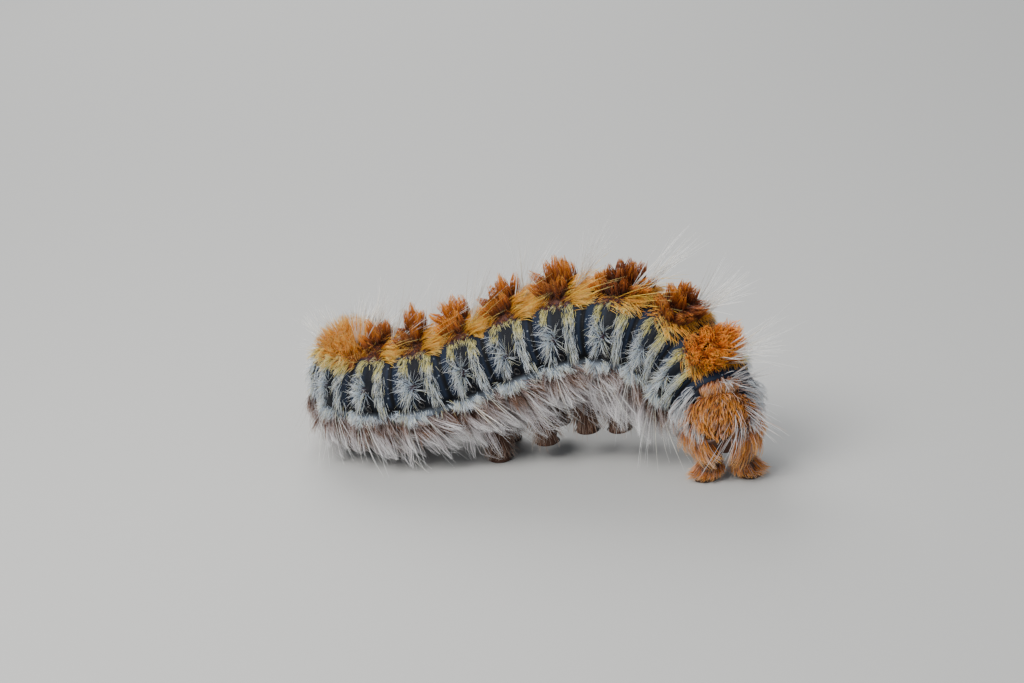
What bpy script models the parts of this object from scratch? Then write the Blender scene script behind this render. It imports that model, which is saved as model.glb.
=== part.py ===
# Pine processionary larva, life size, crawling in an S: head at the far left, tail at the near right.
# Metres, +Z up. The larva faces along -X at its middle and stands on the floor, z = 0.
import math
import random
from typing import NamedTuple

import bmesh
import bpy
from mathutils import Vector

MM = 0.001
GAP = 0.3 * MM

# Body rings from head to tail: name, length along the body, skin radius.
SEGMENTS = (
    ("thorax_1", 2.2 * MM, 2.24 * MM),
    ("thorax_2", 2.25 * MM, 2.55 * MM),
    ("thorax_3", 2.25 * MM, 2.78 * MM),
    ("abdomen_1", 2.45 * MM, 2.86 * MM),
    ("abdomen_2", 2.75 * MM, 2.91 * MM),
    ("abdomen_3", 2.9 * MM, 2.91 * MM),
    ("abdomen_4", 3.05 * MM, 2.91 * MM),
    ("abdomen_5", 3.0 * MM, 2.91 * MM),
    ("abdomen_6", 2.8 * MM, 2.91 * MM),
    ("abdomen_7", 2.6 * MM, 2.86 * MM),
    ("abdomen_8", 2.45 * MM, 2.71 * MM),
    ("abdomen_9", 1.75 * MM, 2.3 * MM),
    ("abdomen_10", 1.95 * MM, 1.85 * MM),
)
ORDER = [name for name, _, _ in SEGMENTS]
THORAX_RINGS = 3
LAST = len(SEGMENTS) - 1

# Heading of the body line, head to tail, in degrees from +X, at places counted in body rings.
HEADINGS = (
    (-1.0, -110.0),
    (1.0, -88.0),
    (3.0, -39.0),
    (5.0, -6.5),
    (7.0, -14.5),
    (9.0, -27.0),
    (11.0, -65.0),
    (13.0, -106.0),
)
# Slope of the body line, in degrees over level towards the tail: the rear half goes over a crawling
# hump and comes down steeply to the hind feet.
PITCHES = (
    (0.0, -2.5),
    (3.0, 1.0),
    (5.0, 15.5),
    (6.5, 18.0),
    (7.5, 11.0),
    (9.0, -15.0),
    (10.5, -36.0),
    (11.2, -36.0),
    (12.0, -23.0),
    (13.0, -6.0),
)
# Where the body line starts, under the back of the head, and the belly's height there.
LINE_FOOT = (-10.37 * MM, 8.86 * MM)
FRONT_CLEARANCE = 1.85 * MM

AROUND = 20
FURROW = 0.09
BELLY_FLATTENING = 0.10
SIDE_FOLD = 0.05
SIDE_FOLD_ANGLE = math.radians(108)
SIDE_FOLD_SPREAD = math.radians(15)

# Slope of the coat along the body, at places counted in rings: forward over the head, back elsewhere.
LEANS = ((0.0, -0.6), (3.0, 0.35), (6.0, 0.6), (10.0, 0.6), (13.0, 0.9))
LOCK_SIDES = 4
LOCK_SUNK = 0.45 * MM
LOCK_MARGIN = 0.08 * MM
LOCK_CLEARANCE = 0.32 * MM
LOCK_LEAST = 0.5 * MM


class Lock(NamedTuple):
    """A named size of lock: reach over the skin, turn to the floor, width across its root and thickness.

    shape gives the share of the reach and of the width at each ring past the root. The width runs
    around the body where flat is true, and along it where it isn't.
    """

    reach: float
    droop: float
    width: float
    thick: float
    shape: tuple
    flat: bool


SHORT = ((0.5, 0.95), (0.84, 0.7))
LONG = ((0.3, 0.9), (0.6, 0.72), (0.84, 0.5))
LOCKS = {
    "crest": Lock(1.5 * MM, 0.0, 0.95 * MM, 0.72 * MM, SHORT, True),
    "back": Lock(1.15 * MM, 2.0, 1.2 * MM, 0.55 * MM, SHORT, True),
    "long": Lock(4.3 * MM, 8.0, 1.05 * MM, 0.55 * MM, LONG, True),
    "star": Lock(1.9 * MM, 7.0, 1.05 * MM, 0.55 * MM, SHORT, False),
    "fringe": Lock(3.3 * MM, 24.0, 1.1 * MM, 0.58 * MM, LONG, False),
    "brush": Lock(1.7 * MM, 4.0, 1.0 * MM, 0.62 * MM, SHORT, True),
    "tail": Lock(3.2 * MM, 6.0, 1.0 * MM, 0.55 * MM, LONG, True),
}
REACH_SPREAD = 0.13
ANGLE_SPREAD = 2.5
SHARE_SPREAD = 0.03
EIGHTH_CREST = 1.25

# Rows of locks on a ring: kind, share of the ring from its front, angles from the middle of the back.
TUFTED_COAT = (
    ("crest", 0.36, (-23, -8, 8, 23)),
    ("crest", 0.54, (-15, 0, 15)),
    ("back", 0.82, (-26, 0, 26)),
    ("long", 0.70, (-12, 13)),
    ("long", 0.64, (-40, 40)),
    ("star", 0.34, (-60, 60)),
    ("star", 0.70, (-72, 72)),
    ("fringe", 0.24, (-98, 98)),
    ("fringe", 0.52, (-110, 110)),
    ("fringe", 0.78, (-97, 97)),
)
COATS = {
    "thorax_1": (
        ("brush", 0.40, (-54, -18, 18, 54)),
        ("brush", 0.70, (-36, 0, 36)),
        ("star", 0.50, (-82, 82)),
    ),
    "thorax_2": (
        ("brush", 0.34, (-36, -12, 12, 36)),
        ("brush", 0.66, (-24, 0, 24)),
        ("long", 0.55, (-34, 34)),
        ("star", 0.45, (-62, 62)),
        ("fringe", 0.52, (-94, 94)),
    ),
    "thorax_3": (
        ("brush", 0.34, (-36, -12, 12, 36)),
        ("brush", 0.66, (-24, 0, 24)),
        ("long", 0.60, (-38, 38)),
        ("star", 0.45, (-64, 64)),
        ("fringe", 0.28, (-95, 95)),
        ("fringe", 0.72, (-99, 99)),
    ),
    "abdomen_9": (
        ("back", 0.32, (-30, 0, 30)),
        ("long", 0.52, (-20, 20)),
        ("tail", 0.70, (-46, 46)),
        ("star", 0.36, (-72, 72)),
        ("fringe", 0.35, (-100, 100)),
        ("fringe", 0.70, (-94, 94)),
    ),
    "abdomen_10": (
        ("tail", 0.28, (-54, -18, 18, 54)),
        ("tail", 0.62, (-38, 0, 38)),
        ("tail", 0.40, (-88, 88)),
    ),
}

HEAD_LENGTH = 3.0 * MM
HEAD_RADIUS = 2.15 * MM
HEAD_PITCH = math.radians(38)
HEAD_RISE = -0.1 * MM
HEAD_SHARES = (0.0, 0.12, 0.32, 0.55, 0.75, 0.9)
WIDEST_SHARE = 0.36
CROWN_GROOVE = 0.07
CROWN_GROOVE_WIDTH = 0.2
MOUTH_SHARE = 0.9
LABRUM_RADIUS = 0.55 * MM
MANDIBLE_RADIUS = 0.5 * MM
MANDIBLE_APART = 0.42 * MM
STEMMA_RADIUS = 0.2 * MM
STEMMA_COUNT = 6

PROLEG_RINGS = (5, 6, 7, 8)
PROLEG_SIDES = 10
PROLEG_OFFSET = 1.25 * MM
PROLEG_SPREAD = 0.25 * MM
PROLEG_LENGTH = 2.3 * MM
PROLEG_SHAPE = ((0.0, 0.72), (0.3, 0.78), (0.68, 0.61), (0.86, 0.59), (1.0, 0.62))
ANAL_OFFSET = 0.85 * MM
ANAL_SHAPE = ((0.0, 0.58), (0.4, 0.66), (0.8, 0.55), (1.0, 0.56))
ANAL_PLACE = 0.45
LEG_SIDES = 8
LEG_OFFSET = 1.0 * MM
LEG_RADII = (0.44 * MM, 0.38 * MM, 0.3 * MM, 0.27 * MM)
KNEE_LEAST = 0.45 * MM

SKIN_COLOUR = (0.035, 0.045, 0.06, 1)
HEAD_COLOUR = (0.012, 0.011, 0.012, 1)
LEG_COLOUR = (0.03, 0.016, 0.012, 1)
PROLEG_COLOUR = (0.34, 0.16, 0.07, 1)


def clear_scene():
    for found in list(bpy.data.objects):
        bpy.data.objects.remove(found, do_unlink=True)


def material(name, colour, roughness):
    made = bpy.data.materials.new(name)
    made.use_nodes = True
    shader = made.node_tree.nodes["Principled BSDF"]
    shader.inputs["Base Color"].default_value = colour
    shader.inputs["Roughness"].default_value = roughness
    shader.inputs["Metallic"].default_value = 0.0
    return made


def between(table, place):
    """The value at a place along a table of (place, value) rows, straight between rows."""
    if place <= table[0][0]:
        return table[0][1]
    for (low, first), (high, second) in zip(table, table[1:]):
        if place <= high:
            return first + (second - first) * (place - low) / (high - low)
    return table[-1][1]


# Where each ring starts, in metres along the body line from the back of the head.
STARTS = [0.0]
for _, ring_length, _ in SEGMENTS:
    STARTS.append(STARTS[-1] + ring_length)
MIDDLES = [(first + last) / 2 for first, last in zip(STARTS, STARTS[1:])]
RING_PLACES = [(start, index) for index, start in enumerate(STARTS)]
RADII = [(middle, radius) for middle, (_, _, radius) in zip(MIDDLES, SEGMENTS)]
LINE_STEP = 0.1 * MM
LINE_BEFORE = 6.0 * MM
LINE_AFTER = 8.0 * MM


def ring_place(s):
    """Metres along the body line, counted in body rings."""
    if s < 0:
        return s / SEGMENTS[0][1]
    if s > STARTS[-1]:
        return len(SEGMENTS) + (s - STARTS[-1]) / SEGMENTS[-1][1]
    return between(RING_PLACES, s)


def heading(s):
    return math.radians(between(HEADINGS, ring_place(s)))


def base_radius(s):
    return between(RADII, s)


def walk(length):
    """Points of the body line, each LINE_STEP, from its start to a signed length along it."""
    height = base_radius(0.0) * (1 - BELLY_FLATTENING) + FRONT_CLEARANCE
    point = Vector((*LINE_FOOT, height))
    step = math.copysign(LINE_STEP, length)
    points = [point.copy()]
    for number in range(int(abs(length) / LINE_STEP)):
        s = (number + 0.5) * step
        turn = heading(s)
        slope = math.radians(between(PITCHES, ring_place(s)))
        level = math.cos(slope)
        point += Vector((level * math.cos(turn), level * math.sin(turn), math.sin(slope))) * step
        points.append(point.copy())
    return points


AHEAD = walk(-LINE_BEFORE)
BEHIND = walk(STARTS[-1] + LINE_AFTER)


def centre(s):
    """The point of the body line at a place along it."""
    points = BEHIND if s >= 0 else AHEAD
    steps = abs(s) / LINE_STEP
    index = min(int(steps), len(points) - 2)
    return points[index].lerp(points[index + 1], steps - index)


def axes(s):
    """Along the body to the tail, to the animal's right, and up its back, at a place on the body line."""
    turn = heading(s)
    right = Vector((-math.sin(turn), math.cos(turn), 0.0))
    along = (centre(s + 2 * LINE_STEP) - centre(s - 2 * LINE_STEP)).normalized()
    return along, right, along.cross(right).normalized()


def section(angle):
    """How far the skin is from the axis at an angle from the back, as a share of the radius."""
    flat = BELLY_FLATTENING * ((1 - math.cos(angle)) / 2) ** 2
    off_fold = (abs(math.remainder(angle, 2 * math.pi)) - SIDE_FOLD_ANGLE) / SIDE_FOLD_SPREAD
    return 1 - flat + SIDE_FOLD * math.exp(-(off_fold**2))


def place(s, angle, height):
    """A point a height over the skin, at an angle from the back to the animal's left, in the coat's lean."""
    leaned = s + between(LEANS, ring_place(s)) * max(0.0, height)
    _, right, up = axes(leaned)
    reach = base_radius(s) * section(angle) + height
    return centre(leaned) + (up * math.cos(angle) - right * math.sin(angle)) * reach


def cell(index):
    """Where a body ring starts and ends, less half the gap at each end."""
    return STARTS[index] + GAP / 2, STARTS[index + 1] - GAP / 2


def loft(name, rings, tip=None):
    """A closed object through rings of equally many points, with flat caps or a point at its end."""
    mesh = bmesh.new()
    made = [[mesh.verts.new(point) for point in ring] for ring in rings]
    sides = len(made[0])
    for first, second in zip(made, made[1:]):
        for i in range(sides):
            j = (i + 1) % sides
            mesh.faces.new((first[i], first[j], second[j], second[i]))
    mesh.faces.new(made[0])
    if tip is None:
        mesh.faces.new(made[-1])
    else:
        apex = mesh.verts.new(tip)
        for i in range(sides):
            mesh.faces.new((made[-1][i], made[-1][(i + 1) % sides], apex))
    bmesh.ops.triangulate(mesh, faces=list(mesh.faces))
    bmesh.ops.recalc_face_normals(mesh, faces=list(mesh.faces))
    data = bpy.data.meshes.new(name)
    mesh.to_mesh(data)
    mesh.free()
    return bpy.data.objects.new(name, data)


def skin_ring(index, share, narrow):
    """Points around a body ring's skin at a share of its length, drawn in by a factor."""
    low, high = cell(index)
    s = low + (high - low) * share
    _, right, up = axes(s)
    middle = centre(s)
    points = []
    for i in range(AROUND):
        angle = 2 * math.pi * i / AROUND
        reach = base_radius(s) * narrow * section(angle)
        points.append(middle + (up * math.cos(angle) - right * math.sin(angle)) * reach)
    return points


def furrowed(share):
    """Swell of one body ring between its furrows, as a share of its radius."""
    return 1 - FURROW * abs(2 * share - 1) ** 3


def tail_end(share):
    """The last ring's radius, which rounds off to the end of the body."""
    return math.sqrt(max(0.0, 1 - share**2.6))


def ring_core(index):
    """The bare skin of a body ring as a closed form."""
    if index == LAST:
        shares = (0.0, 0.25, 0.5, 0.72, 0.9)
        rings = [skin_ring(index, share, tail_end(share)) for share in shares]
        return loft(ORDER[index], rings, centre(cell(index)[1]))
    shares = (0.0, 0.14, 0.5, 0.86, 1.0)
    return loft(ORDER[index], [skin_ring(index, share, furrowed(share)) for share in shares])


def lock(index, kind, share, angle, scale):
    """One flat, tapered lock on a ring, bent along the lie of the coat and kept off its neighbours."""
    form = LOCKS[kind]
    low, high = cell(index)
    side = 1 if angle >= 0 else -1
    s_root = low + (high - low) * share
    rings = []
    path = []
    for reach_share, width_share in ((0.0, 1.0),) + form.shape:
        height = form.reach * scale * reach_share
        turn = math.radians(angle + side * form.droop * reach_share**2)
        width = max(form.width * width_share, LOCK_LEAST)
        thick = max(form.thick * (0.6 + 0.4 * width_share), LOCK_LEAST)
        along_size = thick if form.flat else width
        spacing = (place(s_root + LINE_STEP, turn, height) - place(s_root - LINE_STEP, turn, height)).length
        spacing /= 2 * LINE_STEP
        room = (high - low) * spacing - 2 * LOCK_MARGIN
        along_size = min(along_size, 0.8 * room)
        half = (along_size / 2 + LOCK_MARGIN) / spacing
        s = min(max(s_root, low + half), high - half)
        around_size = width if form.flat else thick
        point = place(s, turn, height if reach_share else -LOCK_SUNK)
        path.append((point, s, turn, along_size, around_size))
    tip_turn = math.radians(angle + side * form.droop)
    tip = place(path[-1][1], tip_turn, form.reach * scale)
    tip.z = max(tip.z, LOCK_CLEARANCE + 0.1 * MM)
    points = [row[0] for row in path] + [tip]
    for number, (point, s, turn, along_size, around_size) in enumerate(path):
        run = (points[number + 1] - points[max(number - 1, 0)]).normalized()
        along, _, _ = axes(s)
        across = run.cross(along).normalized()
        length = across.cross(run).normalized()
        corners = ((length, along_size / 2), (across, around_size / 2))
        ring = [
            point + corners[k % 2][0] * corners[k % 2][1] * (1 if k < 2 else -1)
            for k in range(LOCK_SIDES)
        ]
        lowest = min(corner.z for corner in ring)
        if number and lowest < LOCK_CLEARANCE:
            lift = Vector((0, 0, LOCK_CLEARANCE - lowest))
            ring = [corner + lift for corner in ring]
        rings.append(ring)
    return loft(kind, rings, tip)


def coat(index):
    """All the locks of one ring, varied a little in length, angle and place."""
    name = ORDER[index]
    pieces = []
    for kind, share, angles in COATS.get(name, TUFTED_COAT):
        for angle in angles:
            scale = 1 + random.uniform(-REACH_SPREAD, REACH_SPREAD)
            if name == "abdomen_8" and kind == "crest":
                scale *= EIGHTH_CREST
            turned = angle + random.uniform(-ANGLE_SPREAD, ANGLE_SPREAD)
            shared = share + random.uniform(-SHARE_SPREAD, SHARE_SPREAD)
            pieces.append(lock(index, kind, shared, turned, scale))
    return pieces


def fused(core, pieces):
    """The core with its pieces joined by one Boolean union, as one closed object."""
    scene = bpy.context.scene.collection
    scene.objects.link(core)
    group = bpy.data.collections.new(core.name + "_pieces")
    scene.children.link(group)
    for piece in pieces:
        group.objects.link(piece)
    join = core.modifiers.new("join", "BOOLEAN")
    join.operation = "UNION"
    join.operand_type = "COLLECTION"
    join.collection = group
    join.solver = "EXACT"
    bpy.context.view_layer.update()
    graph = bpy.context.evaluated_depsgraph_get()
    data = bpy.data.meshes.new_from_object(core.evaluated_get(graph))
    core.modifiers.clear()
    core.data = data
    for piece in list(group.objects):
        bpy.data.objects.remove(piece, do_unlink=True)
    bpy.data.collections.remove(group)
    keep_largest(core.data)
    scene.objects.unlink(core)
    return core


def keep_largest(data):
    """Leaves only the largest closed surface of a mesh, and triangles."""
    mesh = bmesh.new()
    mesh.from_mesh(data)
    unseen = set(mesh.verts)
    shells = []
    while unseen:
        front = [unseen.pop()]
        shell = list(front)
        while front:
            for edge in front.pop().link_edges:
                other = next((vert for vert in edge.verts if vert in unseen), None)
                if other is not None:
                    unseen.remove(other)
                    front.append(other)
                    shell.append(other)
        shells.append(shell)
    shells.sort(key=len)
    for shell in shells[:-1]:
        bmesh.ops.delete(mesh, geom=shell, context="VERTS")
    bmesh.ops.triangulate(mesh, faces=list(mesh.faces))
    mesh.to_mesh(data)
    mesh.free()


def head_frame(share):
    """Middle, right, up and forward of the head's section at a share of its length from the back."""
    s = -GAP / 2
    along, right, up = axes(s)
    middle = centre(s) + up * HEAD_RISE
    steps = 12
    for step in range(steps):
        pitch = HEAD_PITCH * share * (step + 0.5) / steps
        forward = -along * math.cos(pitch) - up * math.sin(pitch)
        middle += forward * HEAD_LENGTH * share / steps
    pitch = HEAD_PITCH * share
    forward = -along * math.cos(pitch) - up * math.sin(pitch)
    raised = up * math.cos(pitch) - along * math.sin(pitch)
    return middle, right, raised, forward


def head_reach(share):
    """Radius of the head at a share of its length: a globe with a flat back."""
    off = abs(share - WIDEST_SHARE) / (1 - WIDEST_SHARE)
    return HEAD_RADIUS * math.sqrt(max(0.0, 1 - off**2.4))


def head_ring(share):
    middle, right, raised, _ = head_frame(share)
    points = []
    for i in range(AROUND):
        angle = math.remainder(2 * math.pi * i / AROUND, 2 * math.pi)
        groove = 1 - CROWN_GROOVE * math.exp(-((angle / CROWN_GROOVE_WIDTH) ** 2))
        outward = raised * math.cos(angle) - right * math.sin(angle)
        points.append(middle + outward * head_reach(share) * groove)
    return points


def head_surface(share, angle):
    """A point on the head and the way out of it."""
    middle, right, raised, _ = head_frame(share)
    outward = raised * math.cos(angle) - right * math.sin(angle)
    return middle + outward * head_reach(share), outward


def ball(name, middle, radius, segments, rings):
    mesh = bmesh.new()
    bmesh.ops.create_uvsphere(mesh, u_segments=segments, v_segments=rings, radius=radius)
    bmesh.ops.translate(mesh, verts=list(mesh.verts), vec=middle)
    data = bpy.data.meshes.new(name)
    mesh.to_mesh(data)
    mesh.free()
    return bpy.data.objects.new(name, data)


def stemmata(side):
    """The small round eyes in an arc on the lower side of the face."""
    eyes = []
    for i in range(STEMMA_COUNT):
        turn = math.radians(-70 + 56 * i)
        share = 0.7 + 0.1 * math.cos(turn)
        angle = side * (math.radians(112) + 0.22 * math.sin(turn))
        point, outward = head_surface(share, angle)
        eyes.append(ball("stemma", point - outward * 0.02 * MM, STEMMA_RADIUS, 6, 3))
    return eyes


def head():
    """The head globe with its lip, jaws and small eyes."""
    core = loft("head", [head_ring(share) for share in HEAD_SHARES], head_frame(1.0)[0])
    mouth, right, raised, forward = head_frame(MOUTH_SHARE)
    chin = mouth - raised * HEAD_RADIUS * 0.58 + forward * 0.1 * MM
    pieces = [ball("labrum", chin + forward * 0.3 * MM, LABRUM_RADIUS, 8, 6)]
    for side in (-1, 1):
        jaw = chin - right * side * MANDIBLE_APART - raised * 0.28 * MM
        pieces.append(ball("mandible", jaw, MANDIBLE_RADIUS, 8, 6))
        pieces.extend(stemmata(side))
    return fused(core, pieces)


def taper(name, points, radii, tip, flat_end):
    """A round tapered limb along a path. Its last ring lies flat where flat_end is true."""
    rings = []
    for number, (point, radius) in enumerate(zip(points, radii)):
        ahead = points[min(number + 1, len(points) - 1)]
        axis = (ahead - points[max(number - 1, 0)]).normalized()
        if flat_end and number == len(points) - 1:
            axis = Vector((0, 0, -1))
        side = axis.cross(Vector((0.31, 0.95, 0.05))).normalized()
        other = axis.cross(side).normalized()
        rings.append(
            [
                point + (side * math.cos(turn) + other * math.sin(turn)) * radius
                for turn in (2 * math.pi * k / LEG_SIDES for k in range(LEG_SIDES))
            ]
        )
    return loft(name, rings, tip)


def side_name(side):
    return "_left" if side > 0 else "_right"


def antenna(side):
    """A short three-jointed feeler beside the jaws."""
    point, outward = head_surface(0.84, side * math.radians(128))
    reach = (outward * 0.55 + head_frame(0.84)[3] * 0.85).normalized()
    root = point + outward * GAP + reach * 0.25 * MM
    points = [root, root + reach * 0.45 * MM, root + reach * 0.75 * MM]
    radii = (0.25 * MM, 0.22 * MM, 0.14 * MM)
    return taper("antenna" + side_name(side), points, radii, root + reach * 1.05 * MM, False)


def under_skin(index, s, sideways):
    """The point of the belly skin at an offset to the animal's left, and the body's right and up there."""
    _, right, up = axes(s)
    low, high = cell(index)
    share = (s - low) / (high - low)
    narrow = tail_end(share) if index == LAST else furrowed(share)
    radius = base_radius(s) * narrow
    angle = math.pi - math.asin(min(1.0, abs(sideways) / (radius * (1 - BELLY_FLATTENING / 2))))
    out = right * math.copysign(1, -sideways)
    return centre(s) + (up * math.cos(angle) + out * math.sin(angle)) * radius * section(angle), out, up


def stump(name, index, s, top, sole, shape, out, up):
    """A soft round foot from under a ring's skin to its flat sole."""
    level_out = Vector((out.x, out.y, 0)).normalized()
    level_side = Vector((-level_out.y, level_out.x, 0))
    along, _, _ = axes(s)
    tilted = along if along.dot(level_side) > 0 else -along
    radius = base_radius(s) * (1 - BELLY_FLATTENING / 2)
    root_across = (top - centre(s)).dot(out)
    rings = []
    for down_share, thickness in shape:
        middle = top.lerp(sole, down_share)
        ring = []
        for k in range(PROLEG_SIDES):
            turn = 2 * math.pi * k / PROLEG_SIDES
            lengthways = tilted.lerp(level_side, down_share)
            offset = (level_out * math.cos(turn) + lengthways * math.sin(turn)) * thickness * MM
            across = root_across + offset.dot(out)
            follow = math.sqrt(max(0.0, radius**2 - root_across**2)) - math.sqrt(
                max(0.0, radius**2 - across**2)
            )
            ring.append(middle + offset + up * follow * (1 - down_share) ** 2)
        rings.append(ring)
    return loft(name, rings)


def proleg(index, side):
    """A false leg under an abdomen ring, on the floor where the hump lets it reach."""
    s = MIDDLES[index]
    root, out, up = under_skin(index, s, side * PROLEG_OFFSET)
    top = root - up * (GAP + 0.1 * MM)
    sole = top + out * PROLEG_SPREAD
    sole.z = max(0.0, top.z - PROLEG_LENGTH)
    name = ORDER[index].replace("abdomen", "proleg") + side_name(side)
    return stump(name, index, s, top, sole, PROLEG_SHAPE, out, up)


def anal_proleg(side):
    """A hind foot under the last ring, splayed out and back."""
    low, high = cell(LAST)
    s = low + (high - low) * ANAL_PLACE
    root, out, up = under_skin(LAST, s, side * ANAL_OFFSET)
    along, _, _ = axes(s)
    top = root - up * (GAP + 0.14 * MM)
    sole = top + out * 0.4 * MM + along * 0.35 * MM
    sole.z = 0.0
    return stump("proleg_10" + side_name(side), LAST, s, top, sole, ANAL_SHAPE, out, up)


def leg(index, side):
    """A jointed true leg under the thorax, bent at the knee, its claw resting flat."""
    s = MIDDLES[index]
    along, _, _ = axes(s)
    root, out, up = under_skin(index, s, side * LEG_OFFSET)
    top = root - up * (GAP + 0.22 * MM)
    knee = top + out * 0.5 * MM - along * 0.2 * MM - up * 0.4 * MM
    knee.z = max(knee.z, KNEE_LEAST)
    foot = top + out * 0.35 * MM - along * 0.65 * MM
    foot.z = 0.0
    ankle = foot + out * 0.05 * MM + Vector((0, 0, 0.35 * MM))
    name = "leg_" + str(index + 1) + side_name(side)
    return taper(name, [top, knee, ankle, foot], LEG_RADII, None, True)


def main():
    clear_scene()
    random.seed(11)
    larva = bpy.data.collections.new("larva")
    bpy.context.scene.collection.children.link(larva)
    sides = (1, -1)
    skin = material("skin", SKIN_COLOUR, 0.6)
    shell = material("head_shell", HEAD_COLOUR, 0.3)
    claw = material("leg_shell", LEG_COLOUR, 0.35)
    foot = material("proleg_skin", PROLEG_COLOUR, 0.55)
    dressed = [(head(), shell)]
    dressed += [(antenna(side), shell) for side in sides]
    dressed += [(fused(ring_core(index), coat(index)), skin) for index in range(len(SEGMENTS))]
    dressed += [(leg(index, side), claw) for index in range(THORAX_RINGS) for side in sides]
    dressed += [(proleg(index, side), foot) for index in PROLEG_RINGS for side in sides]
    dressed += [(anal_proleg(side), foot) for side in sides]
    for node, finish in dressed:
        larva.objects.link(node)
        node.data.materials.clear()
        node.data.materials.append(finish)


main()
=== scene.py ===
"""Dresses the pine processionary larva: skin, black head, true legs and a dense coat of solid hairs."""
import logging
import math
from dataclasses import dataclass, field, replace
from enum import Enum, IntEnum

import bmesh
import bpy
import numpy as np
from mathutils import Matrix, Vector


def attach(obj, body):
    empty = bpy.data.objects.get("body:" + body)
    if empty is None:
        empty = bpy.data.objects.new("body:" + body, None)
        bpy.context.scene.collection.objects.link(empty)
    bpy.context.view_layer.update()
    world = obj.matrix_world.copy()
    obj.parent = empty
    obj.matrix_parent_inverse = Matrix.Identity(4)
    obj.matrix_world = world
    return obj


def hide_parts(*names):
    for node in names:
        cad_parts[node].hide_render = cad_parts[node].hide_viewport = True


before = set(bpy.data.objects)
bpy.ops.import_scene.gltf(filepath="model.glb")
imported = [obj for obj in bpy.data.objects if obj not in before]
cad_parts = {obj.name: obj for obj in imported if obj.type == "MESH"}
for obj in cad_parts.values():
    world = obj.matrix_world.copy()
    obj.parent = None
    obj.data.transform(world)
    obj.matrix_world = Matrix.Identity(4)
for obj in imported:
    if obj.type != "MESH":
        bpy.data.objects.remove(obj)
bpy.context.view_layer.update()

MM = 0.001
BODY = "root"
LOG = logging.getLogger("larva")
Array = np.ndarray
Point = tuple[float, float, float]
Shade = tuple[float, float, float, float]
Stops = tuple[tuple[float, int, int, int], ...]
Profile = tuple[tuple[float, float], ...]
Faces = list[tuple[int, ...]]
THORAX = (0, 1, 2)
TUFTED = tuple(range(3, 11))
FLANKED = tuple(range(2, 11))


class Side(Enum):
    """The animal's own two sides."""

    LEFT = 1
    RIGHT = -1

    @property
    def word(self) -> str:
        """The side's name, as node and piece names end."""
        return self.name.lower()


class Mark(Enum):
    """Named areas of the skin's pattern, each a vertex attribute that the skin's finish reads."""

    MIRROR = "mirror"
    GOLD = "gold"
    PLUM = "plum"
    PALE = "pale"
    SLATE = "slate"
    GROOVE = "groove"
    FOLD = "fold"
    UNDER = "under"
    FOOT = "foot"


class Ring(IntEnum):
    """Body rings where the pattern or the coat changes, counted from 0 at the first thorax ring."""

    ABDOMEN_1 = 3
    ABDOMEN_6 = 8
    ABDOMEN_8 = 10
    ABDOMEN_9 = 11
    ABDOMEN_10 = 12


def srgb(red: int, green: int, blue: int) -> Shade:
    """A linear colour from screen values.

    Args:
        red: Red, 0 to 255.
        green: Green, 0 to 255.
        blue: Blue, 0 to 255.

    Returns:
        The colour as a shader socket takes it.
    """
    linear = []
    for value in (red, green, blue):
        share = value / 255
        linear.append(share / 12.92 if share <= 0.04045 else ((share + 0.055) / 1.055) ** 2.4)
    return linear[0], linear[1], linear[2], 1.0


def smooth(low: float, high: float, value: Array) -> Array:
    """A soft step from 0 at low to 1 at high."""
    share = np.clip((value - low) / (high - low), 0.0, 1.0)
    return share * share * (3 - 2 * share)


def window(value: Array, low: float, high: float, soft: float) -> Array:
    """1 between two edges, each of them soft over twice the given width."""
    return smooth(low - soft, low + soft, value) * (1 - smooth(high - soft, high + soft, value))


def unit(vectors: Array) -> Array:
    """Vectors of length one."""
    return vectors / np.maximum(np.linalg.norm(vectors, axis=-1, keepdims=True), 1e-12)


def wrap(angle: Array) -> Array:
    """Angles brought to within half a turn of 0."""
    return np.remainder(angle + math.pi, 2 * math.pi) - math.pi


def full_turn(count: int) -> Array:
    """Even turns once around, from 0."""
    return np.linspace(0, 2 * math.pi, count, endpoint=False)


def bell(value: Array, middle: float, width: float) -> Array:
    """A soft bump of height 1 at a middle."""
    return np.exp(-(((value - middle) / width) ** 2))


def circle(middle: Array, first: Array, second: Array, around: Array) -> Array:
    """Points around a middle, at turns from one radius vector to the other."""
    return middle + np.cos(around)[:, None] * first + np.sin(around)[:, None] * second


@dataclass(frozen=True)
class Wart:
    """A wart with hair: share of the ring, degrees from the back, height and spread in millimetres."""

    share: float
    side: float
    height: float
    spread: float
    body_radius: float = 2.9
    per_radian: float = 57.3

    def rise(self, share: Array, side: Array) -> Array:
        """How far it stands over the skin, as a share of the body's radius."""
        wide = self.spread / self.body_radius
        away = ((share - self.share) / wide) ** 2 + ((side - self.side) / (wide * self.per_radian)) ** 2
        return self.height / self.body_radius * np.exp(-away)


WARTS = (
    Wart(0.45, 75.0, 0.20, 0.32),
    Wart(0.76, 62.0, 0.12, 0.28),
    Wart(0.34, 38.0, 0.10, 0.24),
    Wart(0.28, 108.0, 0.14, 0.34),
    Wart(0.50, 122.0, 0.14, 0.34),
)


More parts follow.
